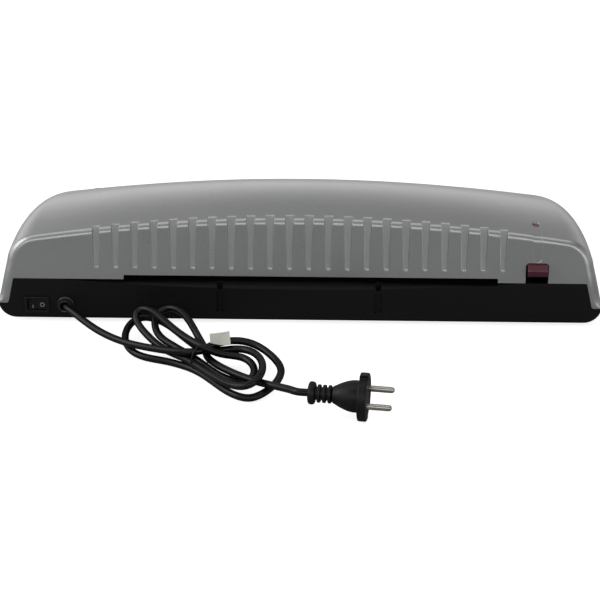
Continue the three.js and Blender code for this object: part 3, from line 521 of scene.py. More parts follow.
def glossy_plastic(name, colour, roughness=0.22, coat=0.4):
    """Smooth moulded plastic with faint flow marks and fine scratches in its gloss."""
    n = Nodes(name)
    flow = n.noise(70, detail=4, place=n.stretch((1, 3, 3)))
    scratches = n.noise(900, detail=2, place=n.stretch((0.12, 1, 1)))
    n.set(Base_Color=n.clouded(flow, colour, 0.8, 1.3))
    gloss = n.span(flow, roughness - 0.04, roughness + 0.05)
    n.set(Roughness=n.sum(gloss, n.span(scratches, 0.0, 0.10, 0.6, 0.8)))
    n.set(Coat_Weight=coat, Coat_Roughness=0.08)
    n.bump(n.sum(flow, scratches), 0.000012, 0.3)
    return n.owner


def cable_jacket(name, colour, roughness):
    """Extruded PVC: a satin skin with slight waviness and dusty patches."""
    n = Nodes(name)
    dust = n.noise(120, detail=6, roughness=0.65)
    waves = n.noise(420, detail=2)
    n.set(Base_Color=n.mix(n.span(dust, 0.0, 0.7, 0.45, 0.8), colour, scaled(colour, 2.6)))
    n.set(Roughness=n.span(dust, roughness - 0.05, roughness + 0.14, 0.3, 0.75))
    n.set(Specular_IOR_Level=0.4)
    n.bump(n.sum(waves, n.noise(2400, detail=3)), 0.00003, 0.35)
    return n.owner


def worked_metal(name, colour, roughness, blotch=0.12):
    """Plated or milled metal with a brushed grain along X and cloudy plating."""
    n = Nodes(name)
    lines = n.noise(2600, detail=3, place=n.stretch((0.03, 1, 1)))
    clouds = n.noise(55, detail=5)
    n.set(Base_Color=n.clouded(clouds, colour, 1 - blotch, 1 + blotch))
    gloss = n.span(lines, roughness - 0.06, roughness + 0.08)
    n.set(Metallic=1.0, Roughness=n.sum(gloss, n.span(clouds, 0.0, 0.06)))
    n.bump(lines, 0.00001, 0.4)
    return n.owner


def soft_rubber(name, colour, roughness):
    """Matt rubber with a chalky bloom and a fine ground surface."""
    n = Nodes(name)
    bloom = n.noise(160, detail=6, roughness=0.7)
    n.set(Base_Color=n.mix(n.span(bloom, 0.0, 0.6, 0.4, 0.75), colour, scaled(colour, 1.9)))
    n.set(Roughness=n.span(bloom, roughness - 0.08, roughness + 0.08))
    n.bump(n.sum(n.noise(2200, detail=4), bloom), 0.00004, 0.5)
    return n.owner


def clear_lens(name, colour):
    """Tinted clear plastic with a faint prismatic pattern inside."""
    n = Nodes(name)
    facets = n.cells(1700)
    n.set(Base_Color=n.mix(n.span(facets.outputs["Distance"], 0.0, 0.8), colour, scaled(colour, 2.2)))
    n.set(Roughness=n.span(n.noise(500), 0.08, 0.2), Transmission_Weight=0.25)
    n.set(Coat_Weight=0.6, Coat_Roughness=0.05)
    n.bump(facets.outputs["Distance"], 0.00005, 0.4)
    return n.owner


def paper(name):
    """Uncoated paper with fibres and faint creases."""
    n = Nodes(name)
    fibres = n.noise(1400, detail=6, place=n.stretch((1, 1, 0.3)))
    creases = n.noise(160, detail=2)
    n.set(Base_Color=n.mix(n.span(fibres, 0.0, 1.0, 0.3, 0.7), rgb(0.66, 0.69, 0.60), rgb(0.84, 0.86, 0.79)))
    n.set(Roughness=n.span(fibres, 0.7, 0.9))
    n.bump(n.sum(fibres, creases), 0.00008, 0.5)
    return n.owner


def printed_board(name):
    """Lacquered circuit board with a copper weave showing through the green."""
    n = Nodes(name)
    tracks = n.node("ShaderNodeTexBrick", Vector=n.place, Scale=160.0)
    weave = n.noise(900, detail=3)
    copper = n.mix(tracks.outputs["Fac"], rgb(0.02, 0.16, 0.05), rgb(0.05, 0.30, 0.10))
    n.set(Base_Color=n.mix(n.span(weave, 0.0, 0.4), copper, rgb(0.10, 0.26, 0.10)))
    n.set(Roughness=n.span(weave, 0.25, 0.4))
    n.bump(tracks.outputs["Fac"], 0.00003, 0.5)
    return n.owner


def gear_nylon(name):
    """Moulded nylon, slightly translucent and waxy."""
    n = Nodes(name)
    clouds = n.noise(90, detail=4)
    n.set(Base_Color=n.mix(clouds, rgb(0.72, 0.69, 0.60), rgb(0.86, 0.84, 0.78)))
    n.set(Roughness=n.span(n.noise(300, detail=4), 0.38, 0.52), Subsurface_Weight=0.1, Subsurface_Scale=0.002)
    n.bump(n.noise(1500, detail=3), 0.00002, 0.4)
    return n.owner


MATERIALS = {
    slot: make(slot, *details) for slot, make, *details in (
        ("silver_cover", silver_paint),
        ("black_base", textured_plastic, rgb(0.0035, 0.0035, 0.0038), 0.52),
        ("dark_plastic", textured_plastic, rgb(0.012, 0.012, 0.013), 0.42, 2200, 0.00002),
        ("switch_plastic", textured_plastic, rgb(0.009, 0.009, 0.010), 0.34, 2600, 0.000015),
        ("panel_plastic", glossy_plastic, rgb(0.016, 0.016, 0.018)),
        ("silver_button", glossy_plastic, rgb(0.55, 0.56, 0.57), 0.3),
        ("cord_pvc", cable_jacket, rgb(0.003, 0.003, 0.0033), 0.27),
        ("plug_pvc", cable_jacket, rgb(0.0045, 0.0045, 0.005), 0.42),
        ("tie_wire", cable_jacket, rgb(0.009, 0.009, 0.009), 0.3),
        ("tag_paper", paper),
        ("maroon_lever", glossy_plastic, rgb(0.095, 0.008, 0.024), 0.2, 0.6),
        ("red_lens", clear_lens, rgb(0.20, 0.008, 0.02)),
        ("green_lens", clear_lens, rgb(0.02, 0.22, 0.05)),
        ("plated_steel", worked_metal, rgb(0.56, 0.57, 0.58), 0.32),
        ("nickel_pin", worked_metal, rgb(0.62, 0.59, 0.54), 0.2, 0.08),
        ("heater_aluminium", worked_metal, rgb(0.68, 0.69, 0.70), 0.38),
        ("silicone_roller", soft_rubber, rgb(0.36, 0.09, 0.055), 0.6),
        ("white_nylon", gear_nylon),
        ("rubber_foot", soft_rubber, rgb(0.014, 0.014, 0.014), 0.8),
        ("circuit_board", printed_board),
        ("mark_paint", textured_plastic, rgb(0.34, 0.37, 0.42), 0.5, 3000, 0.00001, 0.0),
    )
}

# ------------------------------------------------------------------ the machine's outer form


def crown_z(y):
    """Height of the crown over the machine's middle, back to front as far as the brow."""
    run = max(0, RIDGE_Y - y)
    bend = (RIDGE_SLOPE + BROW_SLOPE) / (2 * (RIDGE_Y - BROW_Y))
    return ARCH_TOP_Z + RIDGE_SLOPE * run - bend * run ** 2


def nose(share):
    """The rounded nose in front of the brow, as (y, crown height) at a share of its way down."""
    brow = Vector((BROW_Y, crown_z(BROW_Y)))
    knee = Vector((NOSE_Y, brow.y - BROW_SLOPE * (BROW_Y - NOSE_Y)))
    foot = Vector((NOSE_Y, NOSE_FOOT_Z))
    return brow * (1 - share) ** 2 + knee * 2 * share * (1 - share) + foot * share ** 2


def stretch(crown):
    """How far the part of the section above the parting line is stretched up at a crown's height."""
    return (crown - PARTING_Z) / (ARCH_TOP_Z - PARTING_Z)


def plan_width(y):
    """The plan's width at a depth, as a share of its greatest width."""
    return 1 - PLAN_TAPER * (max(0, WIDEST_Y - y) / (WIDEST_Y + HALF_DEPTH)) ** 2


def rear_y(z):
    return HALF_DEPTH - max(0, z - PARTING_Z) * math.tan(REAR_LEAN)


def ridge_radius(nz):
    """The rear edge's radius where the section's outward normal has an upward part nz."""
    return RIDGE_SIDE_R + (RIDGE_TOP_R - RIDGE_SIDE_R) * nz ** 2


def half_outline():
    """The +X half of the cross-section, underside to crown: (x, z, normal x, normal z, rear edge radius)."""
    points = []
    for x, z in arc(HALF_WIDTH - CORNER_R, BOTTOM_Z + CORNER_R, CORNER_R, -90, 0, 10):
        nx, nz = (x - HALF_WIDTH + CORNER_R) / CORNER_R, (z - BOTTOM_Z - CORNER_R) / CORNER_R
        points.append((x, z, nx, nz, BASE_EDGE_R))
    arch_end_z = ARCH_TOP_Z - ARCH_DROP * ARCH_HALF ** 2
    arch_end = math.pi / 2 - math.atan(2 * ARCH_DROP * ARCH_HALF)
    centre_x = ARCH_HALF - SHOULDER_R * math.cos(arch_end)
    centre_z = arch_end_z - SHOULDER_R * math.sin(arch_end)
    side_nx, side_nz = math.cos(SIDE_LEAN), math.sin(SIDE_LEAN)
    side_top = Vector((centre_x + SHOULDER_R * side_nx, centre_z + SHOULDER_R * side_nz))
    side_foot = Vector((HALF_WIDTH, BOTTOM_Z + CORNER_R))
    for share in (0.06, 0.2, 0.4, 0.62, 0.84):
        x, z = side_foot.lerp(side_top, share)
        edge = RIDGE_SIDE_R if share > 0.1 else (RIDGE_SIDE_R + BASE_EDGE_R) / 2
        points.append((x, z, side_nx, side_nz, edge))
    shoulder_steps = 16
    for i in range(shoulder_steps + 1):
        angle = SIDE_LEAN + (arch_end - SIDE_LEAN) * i / shoulder_steps
        nx, nz = math.cos(angle), math.sin(angle)
        points.append((centre_x + SHOULDER_R * nx, centre_z + SHOULDER_R * nz, nx, nz, ridge_radius(nz)))
    arch_steps = 24
    for i in range(arch_steps - 1, 0, -1):
        x = ARCH_HALF * i / arch_steps
        steep = 2 * ARCH_DROP * x
        nx, nz = steep / math.hypot(1, steep), 1 / math.hypot(1, steep)
        points.append((x, ARCH_TOP_Z - ARCH_DROP * x * x, nx, nz, ridge_radius(nz)))
    return points


def body_form(shrink):
    """The machine's outer form, or the hollow inside it when shrink is the wall's thickness."""
    half = half_outline()
    outline = half + [(-x, z, -nx, nz, edge) for x, z, nx, nz, edge in reversed(half)]

    def place(point, inset, y, crown):
        x, z, nx, nz, _ = point
        x = (x - nx * (inset + shrink)) * plan_width(y)
        z -= nz * (inset + shrink)
        return (x, y, PARTING_Z + (z - PARTING_Z) * stretch(crown) if z > PARTING_Z else z)

    rings = []
    rear_steps, top_steps, nose_steps = 1 if shrink else 8, 14, 8
    for i in range(rear_steps + 1):
        ring = []
        for point in outline:
            _, z, _, nz, edge = point
            turn = i / rear_steps * (math.pi / 2 - math.atan(RIDGE_SLOPE) * nz ** 2)
            radius = max(1, edge - shrink)
            inset = radius * (1 - math.sin(turn))
            wall_y = rear_y(z - nz * (inset + shrink)) - shrink
            ring.append(place(point, inset, wall_y - radius * (1 - math.cos(turn)), ARCH_TOP_Z))
        rings.append(ring)
    for i in range(1, top_steps):
        y = RIDGE_Y + (BROW_Y - RIDGE_Y) * i / top_steps
        rings.append([place(p, 0, y, crown_z(y)) for p in outline])
    for i in range(nose_steps + 1):
        y, crown = nose(i / nose_steps)
        rings.append([place(p, 0, y + shrink, crown) for p in outline])
    for turn in (30, 60, 90):
        angle = math.radians(turn)
        inset = FRONT_R * (1 - math.cos(angle))
        y = NOSE_Y - (HALF_DEPTH + NOSE_Y) * math.sin(angle) + shrink
        rings.append([place(p, inset, y, NOSE_FOOT_Z) for p in outline])
    return loft(rings)


def parting_form(side):
    """The space above the line where the cover meets the base (side 1), or below it (side -1).

    The line's ends draw in towards the front as the plan does.
    """
    shift = side * GAP / 2
    wide, far = HALF_WIDTH + 20, 150 if side > 0 else -30
    tip_x, tip_z = LEG_INNER_X + shift, LEG_Z + shift
    top = Vector((PARTING_HALF + shift, PARTING_Z + shift))
    tip = Vector((tip_x, tip_z))
    slope = (top - tip).normalized()
    rounded = []
    steps = 6
    for i in range(steps + 1):
        share = i / steps
        before, after = tip + slope * LEG_TIP_R, tip + Vector((LEG_TIP_R, 0))
        rounded.append(before * (1 - share) ** 2 + tip * 2 * share * (1 - share) + after * share ** 2)
    right = [tuple(top)] + [tuple(p) for p in rounded] + [(wide, tip_z)]
    left = [(-x, z) for x, z in reversed(right)]
    outline = left + right + [(wide, far), (-wide, far)]
    reach, depth_steps = HALF_DEPTH + 20, 16
    rings = []
    for i in range(depth_steps + 1):
        y = reach - 2 * reach * i / depth_steps
        rings.append([(x * plan_width(y), y, z) for x, z in outline])
    return loft(rings, caps="face")


def height_above(surface, point, out):
    """How far a surface stands above a point, measured along out."""
    hit = surface.ray_cast(point + out * REACH, -out)
    return REACH - hit[3] if hit[0] else -REACH


def draped_cutter(surface, foot, up, out, half_line, profile, open_end=True):
    """A cutting form laid over a surface.

    half_line runs (u, t) down the -X side of a symmetric outline, from its open end to its closed end;
    u is across, t is along the direction up. profile(h) gives (outset, height) pairs across the wall at a
    place where the surface stands h above the cutter's plane, lowest first.
    """
    line = half_line + [(-u, t) for u, t in reversed(half_line)]
    count = len(line)
    columns = []
    for i, (u, t) in enumerate(line):
        before, after = line[max(i - 1, 0)], line[min(i + 1, count - 1)]
        tangent = Vector((after[0] - before[0], after[1] - before[1])).normalized()
        if open_end and i in (0, count - 1):
            tangent = Vector((0, math.copysign(1, tangent.y)))
        elif i in (0, count - 1):
            tangent = Vector((-1, 0))
        normal = Vector((tangent.y, -tangent.x))
        start = foot + X_AXIS * u + up * t
        levels = profile(height_above(surface, start, out))
        columns.append([start + X_AXIS * normal.x * o + up * normal.y * o + out * h for o, h in levels])
    levels = len(columns[0])
    points = [p for column in columns for p in column]
    faces = []
    for i in range(count - 1):
        for level in range(levels - 1):
            a, b = i * levels + level, (i + 1) * levels + level
            faces.append((a, b, b + 1, a + 1))
    for i in range(count // 2 - 1):
        j = count - 1 - i
        for level in (0, levels - 1):
            corners = [i, i + 1, j - 1, j]
            faces.append(tuple(c * levels + level for c in corners))
    for level in range(levels - 1):
        a, b = level, (count - 1) * levels + level
        faces.append((a, a + 1, b + 1, b))
    return mesh_from(points, faces)


def edge_profile(floor, h, fillet=0.0, top=30.0):
    """A wall from a floor up to a surface at height h, with its upper edge rounded over."""
    room = clamp((h - EDGE_ROUND - floor) / 0.8, 0.05, 1)
    foot = []
    if fillet:
        foot = [(-fillet, floor), (-0.3 * fillet, floor + 0.25 * fillet * room)]
    start = floor + max(fillet, 0.02) * room
    wall = max(h - EDGE_ROUND, start + 0.02)
    lip = max(h - 0.3 * EDGE_ROUND, wall + 0.02)
    brim = max(h + 0.25 * EDGE_ROUND, lip + 0.02)
    return foot + [(0, start), (0, wall), (0.25 * EDGE_ROUND, lip), (EDGE_ROUND, brim), (EDGE_ROUND, top)]


GROOVE_LEAN = math.radians(GROOVE_LEAN_DEGREES)
GROOVE_UP = Vector((0, -math.sin(GROOVE_LEAN), math.cos(GROOVE_LEAN)))
GROOVE_OUT = Vector((0, math.cos(GROOVE_LEAN), math.sin(GROOVE_LEAN)))


def groove_xs():
    return [(i - (GROOVES - 1) / 2) * GROOVE_PITCH for i in range(GROOVES)]


def groove_cutter(surface, x):
    """A vent groove: round at the foot, wider upwards, breaking out through the top surface."""
    foot = GROOVE_FOOT + X_AXIS * x

    def half_width(t):
        return GROOVE_FOOT_HALF + (GROOVE_TOP_HALF - GROOVE_FOOT_HALF) * (t / GROOVE_LENGTH)

    low, high = 20.0, GROOVE_LENGTH
    for _ in range(30):
        middle = (low + high) / 2
        inside = height_above(surface, foot + GROOVE_UP * middle, GROOVE_OUT) > 0
        low, high = (middle, high) if inside else (low, middle)
    breakout = low
    # Rows lie closest together where the groove breaks out.
    rows = [breakout + step for step in (4, 2, 0.7, 0.25, 0, -0.25, -0.7, -1.2, -1.8, -2.5, -3.4, -4.5, -6)]
    rows += [breakout - 8 - (breakout - 12) * (i / 8) for i in range(9)]
    side = [(-half_width(t), t) for t in rows]
    foot_arc = arc(0, GROOVE_FOOT_HALF, GROOVE_FOOT_HALF, 180, 268, 7)

    def profile(h):
        floor = -clamp(0.35 - h, 0, 2) * 0.5
        return edge_profile(floor, h, fillet=0.8)

    return draped_cutter(surface, foot, GROOVE_UP, GROOVE_OUT, side + foot_arc, profile)


def window_cutter(surface):
    """The lever's window: rounded at the top and open down to the parting line."""
    half = WINDOW_WIDTH / 2
    side = [(-half, z) for z in (32, 38, 44, 50, WINDOW_TOP - WINDOW_R)]
    corner = arc(-half + WINDOW_R, WINDOW_TOP - WINDOW_R, WINDOW_R, 180, 90, 8)[1:]
    top = [(-half * 0.4, WINDOW_TOP), (-0.5, WINDOW_TOP)]
    foot = Vector((LEVER_X, 0, 0))
    # The closed end is at the top, so the line is measured downwards.
    line = [(u, -z) for u, z in side + corner + top]
    return draped_cutter(surface, foot, -Z_AXIS, Y_AXIS, line, lambda h: edge_profile(60, h, top=100))


def marker_groove_cutter(surface):
    """The shallow long recess that runs from the lever's window over the ridge to the marker's opening."""
    half = 3.5
    foot = Vector((LEVER_X, rear_y(MARKER_GROOVE_FOOT_Z), MARKER_GROOVE_FOOT_Z))
    end = Vector((MARKER_X, MARKER_Y, arch_z(MARKER_X, MARKER_Y, crown_z(MARKER_Y))))
    up = (end - foot).normalized()
    out = X_AXIS.cross(up) * -1
    length = (end - foot).length + half
    side_rows = 26
    low, high = half * 0.7, length - half
    side = [(-half, high - (high - low) * i / side_rows) for i in range(side_rows + 1)]
    foot_arc = arc(0, low, half, 180, 268, 9)[1:]
    top_arc = arc(0, high, half, 92, 180, 9)[:-1]

    def profile(h):
        return [(-0.5, h - 0.7), (0, h - 0.55), (0.1, h - 0.15), (0.45, h + 0.08), (0.45, h + 6)]

    return draped_cutter(surface, foot, up, out, top_arc + side + foot_arc, profile, open_end=False)


def boss_rods(radius, low, high, steps=24):
    """Upright rods at the four places where a screw holds the cover."""
    places = [(x, y) for x in (-BOSS_X, BOSS_X) for y in (-BOSS_Y, BOSS_Y)]
    return joined([prism(circle(x, y, radius, steps), along_z, low, high) for x, y in places])


def arch_z(x, y, crown):
    """Height of the arched top at a place where the crown stands at a given height."""
    drop = ARCH_DROP * (x / plan_width(y)) ** 2
    return PARTING_Z + (ARCH_TOP_Z - drop - PARTING_Z) * stretch(crown)


def panel_matrix():
    """The control panel's place: local +Y runs up the nose and local +Z points out of it."""

    def at(x, share):
        y, crown = nose(share)
        return Vector((x, y, arch_z(x, y, crown)))

    up = (at(PANEL_X, PANEL_SHARE - 0.2) - at(PANEL_X, PANEL_SHARE + 0.2)).normalized()
    across = at(PANEL_X + 10, PANEL_SHARE) - at(PANEL_X - 10, PANEL_SHARE)
    out = across.cross(up).normalized()
    turn = Matrix((up.cross(out), up, out)).transposed().to_4x4()
    return Matrix.Translation(at(PANEL_X, PANEL_SHARE)) @ turn


PANEL = panel_matrix()

# ------------------------------------------------------------------ housings


def build_cover(outer, hollow):
    with editing(outer) as work:
        surface = BVHTree.FromBMesh(work)
    half = GROOVES * GROOVE_PITCH / 2
    lean = shift(*GROOVE_FOOT) @ spin(90 + GROOVE_LEAN_DEGREES, "X") @ spin(180, "Y")
    backing = moved(box((-half, -WALL, -GROOVE_BACKING), (half, GROOVE_LENGTH, 25)), lean)
    shell = cut(outer.copy(), cut(hollow.copy(), backing))
    shell = combined(shell, parting_form(1), "INTERSECT")
    shell = add(shell, combined(boss_rods(4, 16, 110), outer, "INTERSECT"))
    grooves = joined([groove_cutter(surface, x) for x in groove_xs()])
    shell = cut(shell, grooves, window_cutter(surface), marker_groove_cutter(surface))
    marker_hole = prism(circle(MARKER_X, MARKER_Y, MARKER_R, 24), along_z, 60, 120)
    recess_half = (PANEL_LENGTH / 2 + GAP, PANEL_WIDTH / 2 + GAP)
    recess = moved(prism(rounded_rectangle(0, 0, *recess_half, 3), along_z, -PANEL_DEPTH, 8), PANEL)
    pilots = boss_rods(SCREW_HOLE_R, 10, 44, 16)
    shell = cut(shell, joined([marker_hole, pilots]), recess, joined([slot_mouth(1), slot_mouth(-1)]))
    piece("cover_shell", shell, "silver_cover", ["top_cover"])


def slot_mouth(side):
    """The notch in the cover's edge over the exit slot (side 1) or the entry slot (side -1)."""
    half = SLOT_LENGTH / 2 + (0 if side > 0 else 5)
    below = PARTING_Z - 5
    outline = rounded_rectangle(SLOT_CENTRE_X, (below + SLOT_TOP_Z) / 2, half, (SLOT_TOP_Z - below) / 2, 1)
    return prism(outline, along_y, side * 60, side * 80)


def lip_scoop():
    """The shallow dished lip that rolls down from the parting line, deepest in the middle."""
    steps, outer_y, across_steps = 40, HALF_DEPTH + 2, 12
    rings = []
    for i in range(steps + 1):
        across = 2 * i / steps - 1
        x = LIP_CENTRE_X + LIP_HALF * across
        dip = max(0.05, LIP_DIP * (1 - across * across))
        ring = []
        for k in range(across_steps + 1):
            share = k / across_steps
            y = LIP_INNER_Y + (outer_y - LIP_INNER_Y) * share
            fall = dip * ((y - LIP_INNER_Y) / (HALF_DEPTH - LIP_INNER_Y)) ** 1.3
            ring.append((x, y, PARTING_Z - fall))
        ring += [(x, outer_y, PARTING_Z + 2), (x, LIP_INNER_Y, PARTING_Z + 2)]
        rings.append(ring)
    return loft(rings, caps="face")


def rib_flute(x):
    """A round-bottomed flute down the rear wall."""
    half, foot_z, top_z, depth = 1.4, 11, 30, 1.2
    outline = arc(x, foot_z + half, half, 180, 360, 10) + [(x + half, top_z), (x - half, top_z)]
    return prism(outline, along_y, HALF_DEPTH - depth, HALF_DEPTH + 8)


def build_base(outer, hollow):
    slot_low, slot_high = SLOT_CENTRE_X - SLOT_LENGTH / 2, SLOT_CENTRE_X + SLOT_LENGTH / 2
    lip_low, lip_high = LIP_CENTRE_X - LIP_HALF - 3, LIP_CENTRE_X + LIP_HALF + 3
    shell = combined(outer.copy(), parting_form(-1), "INTERSECT")
    shell = cut(shell, hollow.copy())
    ear_xs = (LEVER_X - LEVER_WIDTH / 2 - 3, LEVER_X + LEVER_WIDTH / 2 + 3)
    ears = joined([box((x - 1, 51, BOTTOM_Z + 1), (x + 1, 61, LEVER_Z + 4)) for x in ear_xs])
    lip = box((lip_low, 58.5, 24), (lip_high, HALF_DEPTH - 1, PARTING_Z - GAP / 2))
    shell = add(shell, lip, ears, boss_rods(5.5, BOTTOM_Z + 1, 15))
    notches = []
    flutes = []
    for x in (-NOTCH_X, NOTCH_X):
        outline = arc(x, 33.5, 2.5, 180, 360, 12) + [(x + 2.5, PARTING_Z + 2), (x - 2.5, PARTING_Z + 2)]
        notches.append(prism(outline, along_y, 66.5, 80))
        flutes += [rib_flute(x - 2.1), rib_flute(x + 2.1)]
    switch_hole = box((SWITCH_X - 9.6, 60, SWITCH_Z - 6.6), (SWITCH_X + 9.6, 80, SWITCH_Z + 6.6))
    relief_hole = prism(circle(RELIEF_X, RELIEF_Z, 5.6, 32), along_y, 60, 80)
    exit_slot = box((slot_low, 50, SLOT_FLOOR_Z), (slot_high, 80, PARTING_Z + 2))
    entry_slot = box((slot_low - 5, -80, 32), (slot_high + 5, -60, PARTING_Z + 2))
    pin_bore = prism(circle(LEVER_Y, LEVER_Z, 1.6, 20), along_x, LEVER_X - 30, LEVER_X + 30)
    shell = cut(
        shell, lip_scoop(), exit_slot, entry_slot, joined(notches), joined(flutes),
        joined([switch_hole, relief_hole]), pin_bore,
        boss_rods(3.7, 0, 7.5), boss_rods(SCREW_HOLE_R, 0, 20, 16),
    )
    piece("base_shell", shell, "black_base", ["base_housing"])


def build_tray():
    """The entry shelf with its turned-down edge, and the guide just inside the exit slot."""
    low, high = SLOT_CENTRE_X - SLOT_LENGTH / 2 - 4, SLOT_CENTRE_X + SLOT_LENGTH / 2 + 4
    section = [(-50, 34.5), (-50, 36.8), (-79, 36.8), (-83, 35.8), (-84, 34), (-84, 32.6), (-79, 34.5)]
    tray = bevelled(prism(section, along_x, low, high), 0.5, 3)
    piece("entry_shelf", tray, "black_base", ["entry_tray"])
    guide_section = [(43, 32), (58.2, 32), (58.2, 36.8), (46, 36.8), (43, 35)]
    guide = bevelled(prism(guide_section, along_x, -166, 146), 0.4, 2)
    piece("exit_ramp", guide, "dark_plastic", ["exit_guide"])


def build_feet():
    """Moulded rubber feet: a rounded disc with a dished sole."""
    profile = [
        (0, 0.6), (4.6, 0.6), (5.2, 0), (7.2, 0), (7.8, 0.25), (8, 0.7), (7.7, 2.4), (7.2, 2.7), (0, 2.7),
    ]
    for end, side in (("front", "left"), ("front", "right"), ("rear", "left"), ("rear", "right")):
        name = f"foot_{end}_{side}"
        low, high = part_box(name)
        centre = ((low + high) / 2 - MACHINE) / MM
        mesh = moved(lathe(profile, 40), shift(centre.x, centre.y, 0) @ UPRIGHT)
        piece(f"rubber_{name}", mesh, "rubber_foot", [name])


# ------------------------------------------------------------------ rear controls


def build_switch():
    """The rocker switch, off: a bezel with a well, a rocker dished in a shallow V, its I and O marks."""
    rear = HALF_DEPTH
    bezel = prism(rounded_rectangle(SWITCH_X, SWITCH_Z, 10.5, 7.5, 1.2), along_y, rear + 0.1, rear + 1.6)
    bezel = bevelled(bezel, 0.5, 3, above=50)
    can = box((SWITCH_X - 9.3, 53, SWITCH_Z - 6.3), (SWITCH_X + 9.3, rear + 0.5, SWITCH_Z + 6.3))
    well = box((SWITCH_X - 7.7, 64, SWITCH_Z - 5), (SWITCH_X + 7.7, 80, SWITCH_Z + 5))
    chamfer = loft([
        rounded_ring(SWITCH_X, SWITCH_Z, 7.7, 5.0, rear + 1.0),
        rounded_ring(SWITCH_X, SWITCH_Z, 8.6, 5.9, rear + 1.9),
    ], caps="face")
    body = cut(add(bezel, can), well, chamfer)
    piece("switch_bezel", body, "switch_plastic", ["power_switch_body"])

    hinge = shift(SWITCH_X, SWITCH_PIVOT_Y, SWITCH_Z) @ spin(SWITCH_TILT, "Z")
    half_l, half_w, middle_y, dish = 7.2, 4.7, 2.6, 1.4
    face = [(half_l * (1 - i / 6), middle_y + dish * abs(1 - i / 6) ** 1.3) for i in range(13)]
    outline = [(-half_l, -2), (half_l, -2)] + face
    rocker = bevelled(prism(outline, along_z, -half_w, half_w), 0.35, 3, above=50)
    piece("rocker_paddle", moved(rocker, hinge), "switch_plastic", ["power_rocker"], "switch_rocker")
    slope = math.degrees(math.atan(dish / half_l))
    for name, side, z in (("rocker_mark_on", 1, -1.2), ("rocker_mark_off", -1, -0.2)):
        if side == 1:
            mark = prism(rounded_rectangle(0, 0, 0.3, 1.6, 0.25, 3), along_z, 0, 0.06)
        else:
            section = [(1.35, 0), (1.95, 0), (1.95, 0.06), (1.35, 0.06)]
            mark = moved(ring_lathe(section, 32), UPRIGHT)
        mark = moved(mark, hinge @ shift(side * 3.9, 3.36, z) @ spin(side * slope, "Z") @ spin(-90, "X"))
        piece(name, mark, "switch_plastic", body="switch_rocker", material=MATERIALS["mark_paint"])


def rounded_ring(cx, cz, half_x, half_z, y):
    return [(x, y, z) for x, z in rounded_rectangle(cx, cz, half_x, half_z, 0.6, 3)]


def build_relief():
    """The cord's strain relief: a moulded bush with a rolled rim."""
    rim = arc(6.5, 1.1, 0.9, 0, 90, 3)
    profile = [
        (3.8, -6), (5.2, -6), (5.2, 0.2), (7.0, 0.2), (7.4, 0.5), *rim, (6.2, 2.4), (5.9, 3.4), (5.6, 5.2),
        (5.2, 5.9), (4.6, 6.1), (4.0, 5.8), (3.8, 5.2),
    ]
    bush = moved(ring_lathe(profile, 48), shift(RELIEF_X, HALF_DEPTH, RELIEF_Z))
    piece("cord_bush", bush, "dark_plastic", ["cord_strain_relief"], material=MATERIALS["panel_plastic"])


def build_lever():
    """The release lever: a rounded knob on a bar, a hub round its pin and an arm towards the link."""
    y, z = LEVER_Y, LEVER_Z
    knob = [(y, z - 3), (y + 9, z - 3.6), (y + 17.2, z - 3.6)]
    knob += arc(y + 17.2, z - 0.4, 3.2, -90, 0, 6)[1:]
    knob += [(y + 20.9, z + 2.2)]
    knob += arc(y + 19.2, z + 2.2, 1.7, 0, 60, 4)
    knob += [(y + 14.5, z + 6.2), (y + 9, z + 6.2), (y, z + 3.4)]
    left, right = LEVER_X - LEVER_WIDTH / 2, LEVER_X + LEVER_WIDTH / 2
    bar = bevelled(prism(knob, along_x, left, right), 0.9, 4, above=25)
    hub = prism(circle(y, z, 4, 32), along_x, left, right)
    arm = box((LEVER_X - 4, y - 15, z - 1.5), (LEVER_X + 4, y, z + 1.5))
    bore = prism(circle(y, z, 1.57, 20), along_x, left - 8, right + 8)
    lever = cut(add(hub, bar, arm), bore)
    piece("lever_knob", lever, "maroon_lever", ["release_lever"], "lever")


def build_marker():
    """The red marker that shows through the small opening on top."""
    low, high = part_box("release_indicator")
    top = (high.z - MACHINE.z) / MM
    profile = [(0, top - 5.8), (2.6, top - 5.8), (2.6, top - 0.5), (2.2, top - 0.1), (0, top)]
    mesh = moved(lathe(profile, 28), shift(MARKER_X, MARKER_Y, 0) @ UPRIGHT)
    piece("marker_lens", mesh, "red_lens", ["release_indicator"])


# ------------------------------------------------------------------ front controls


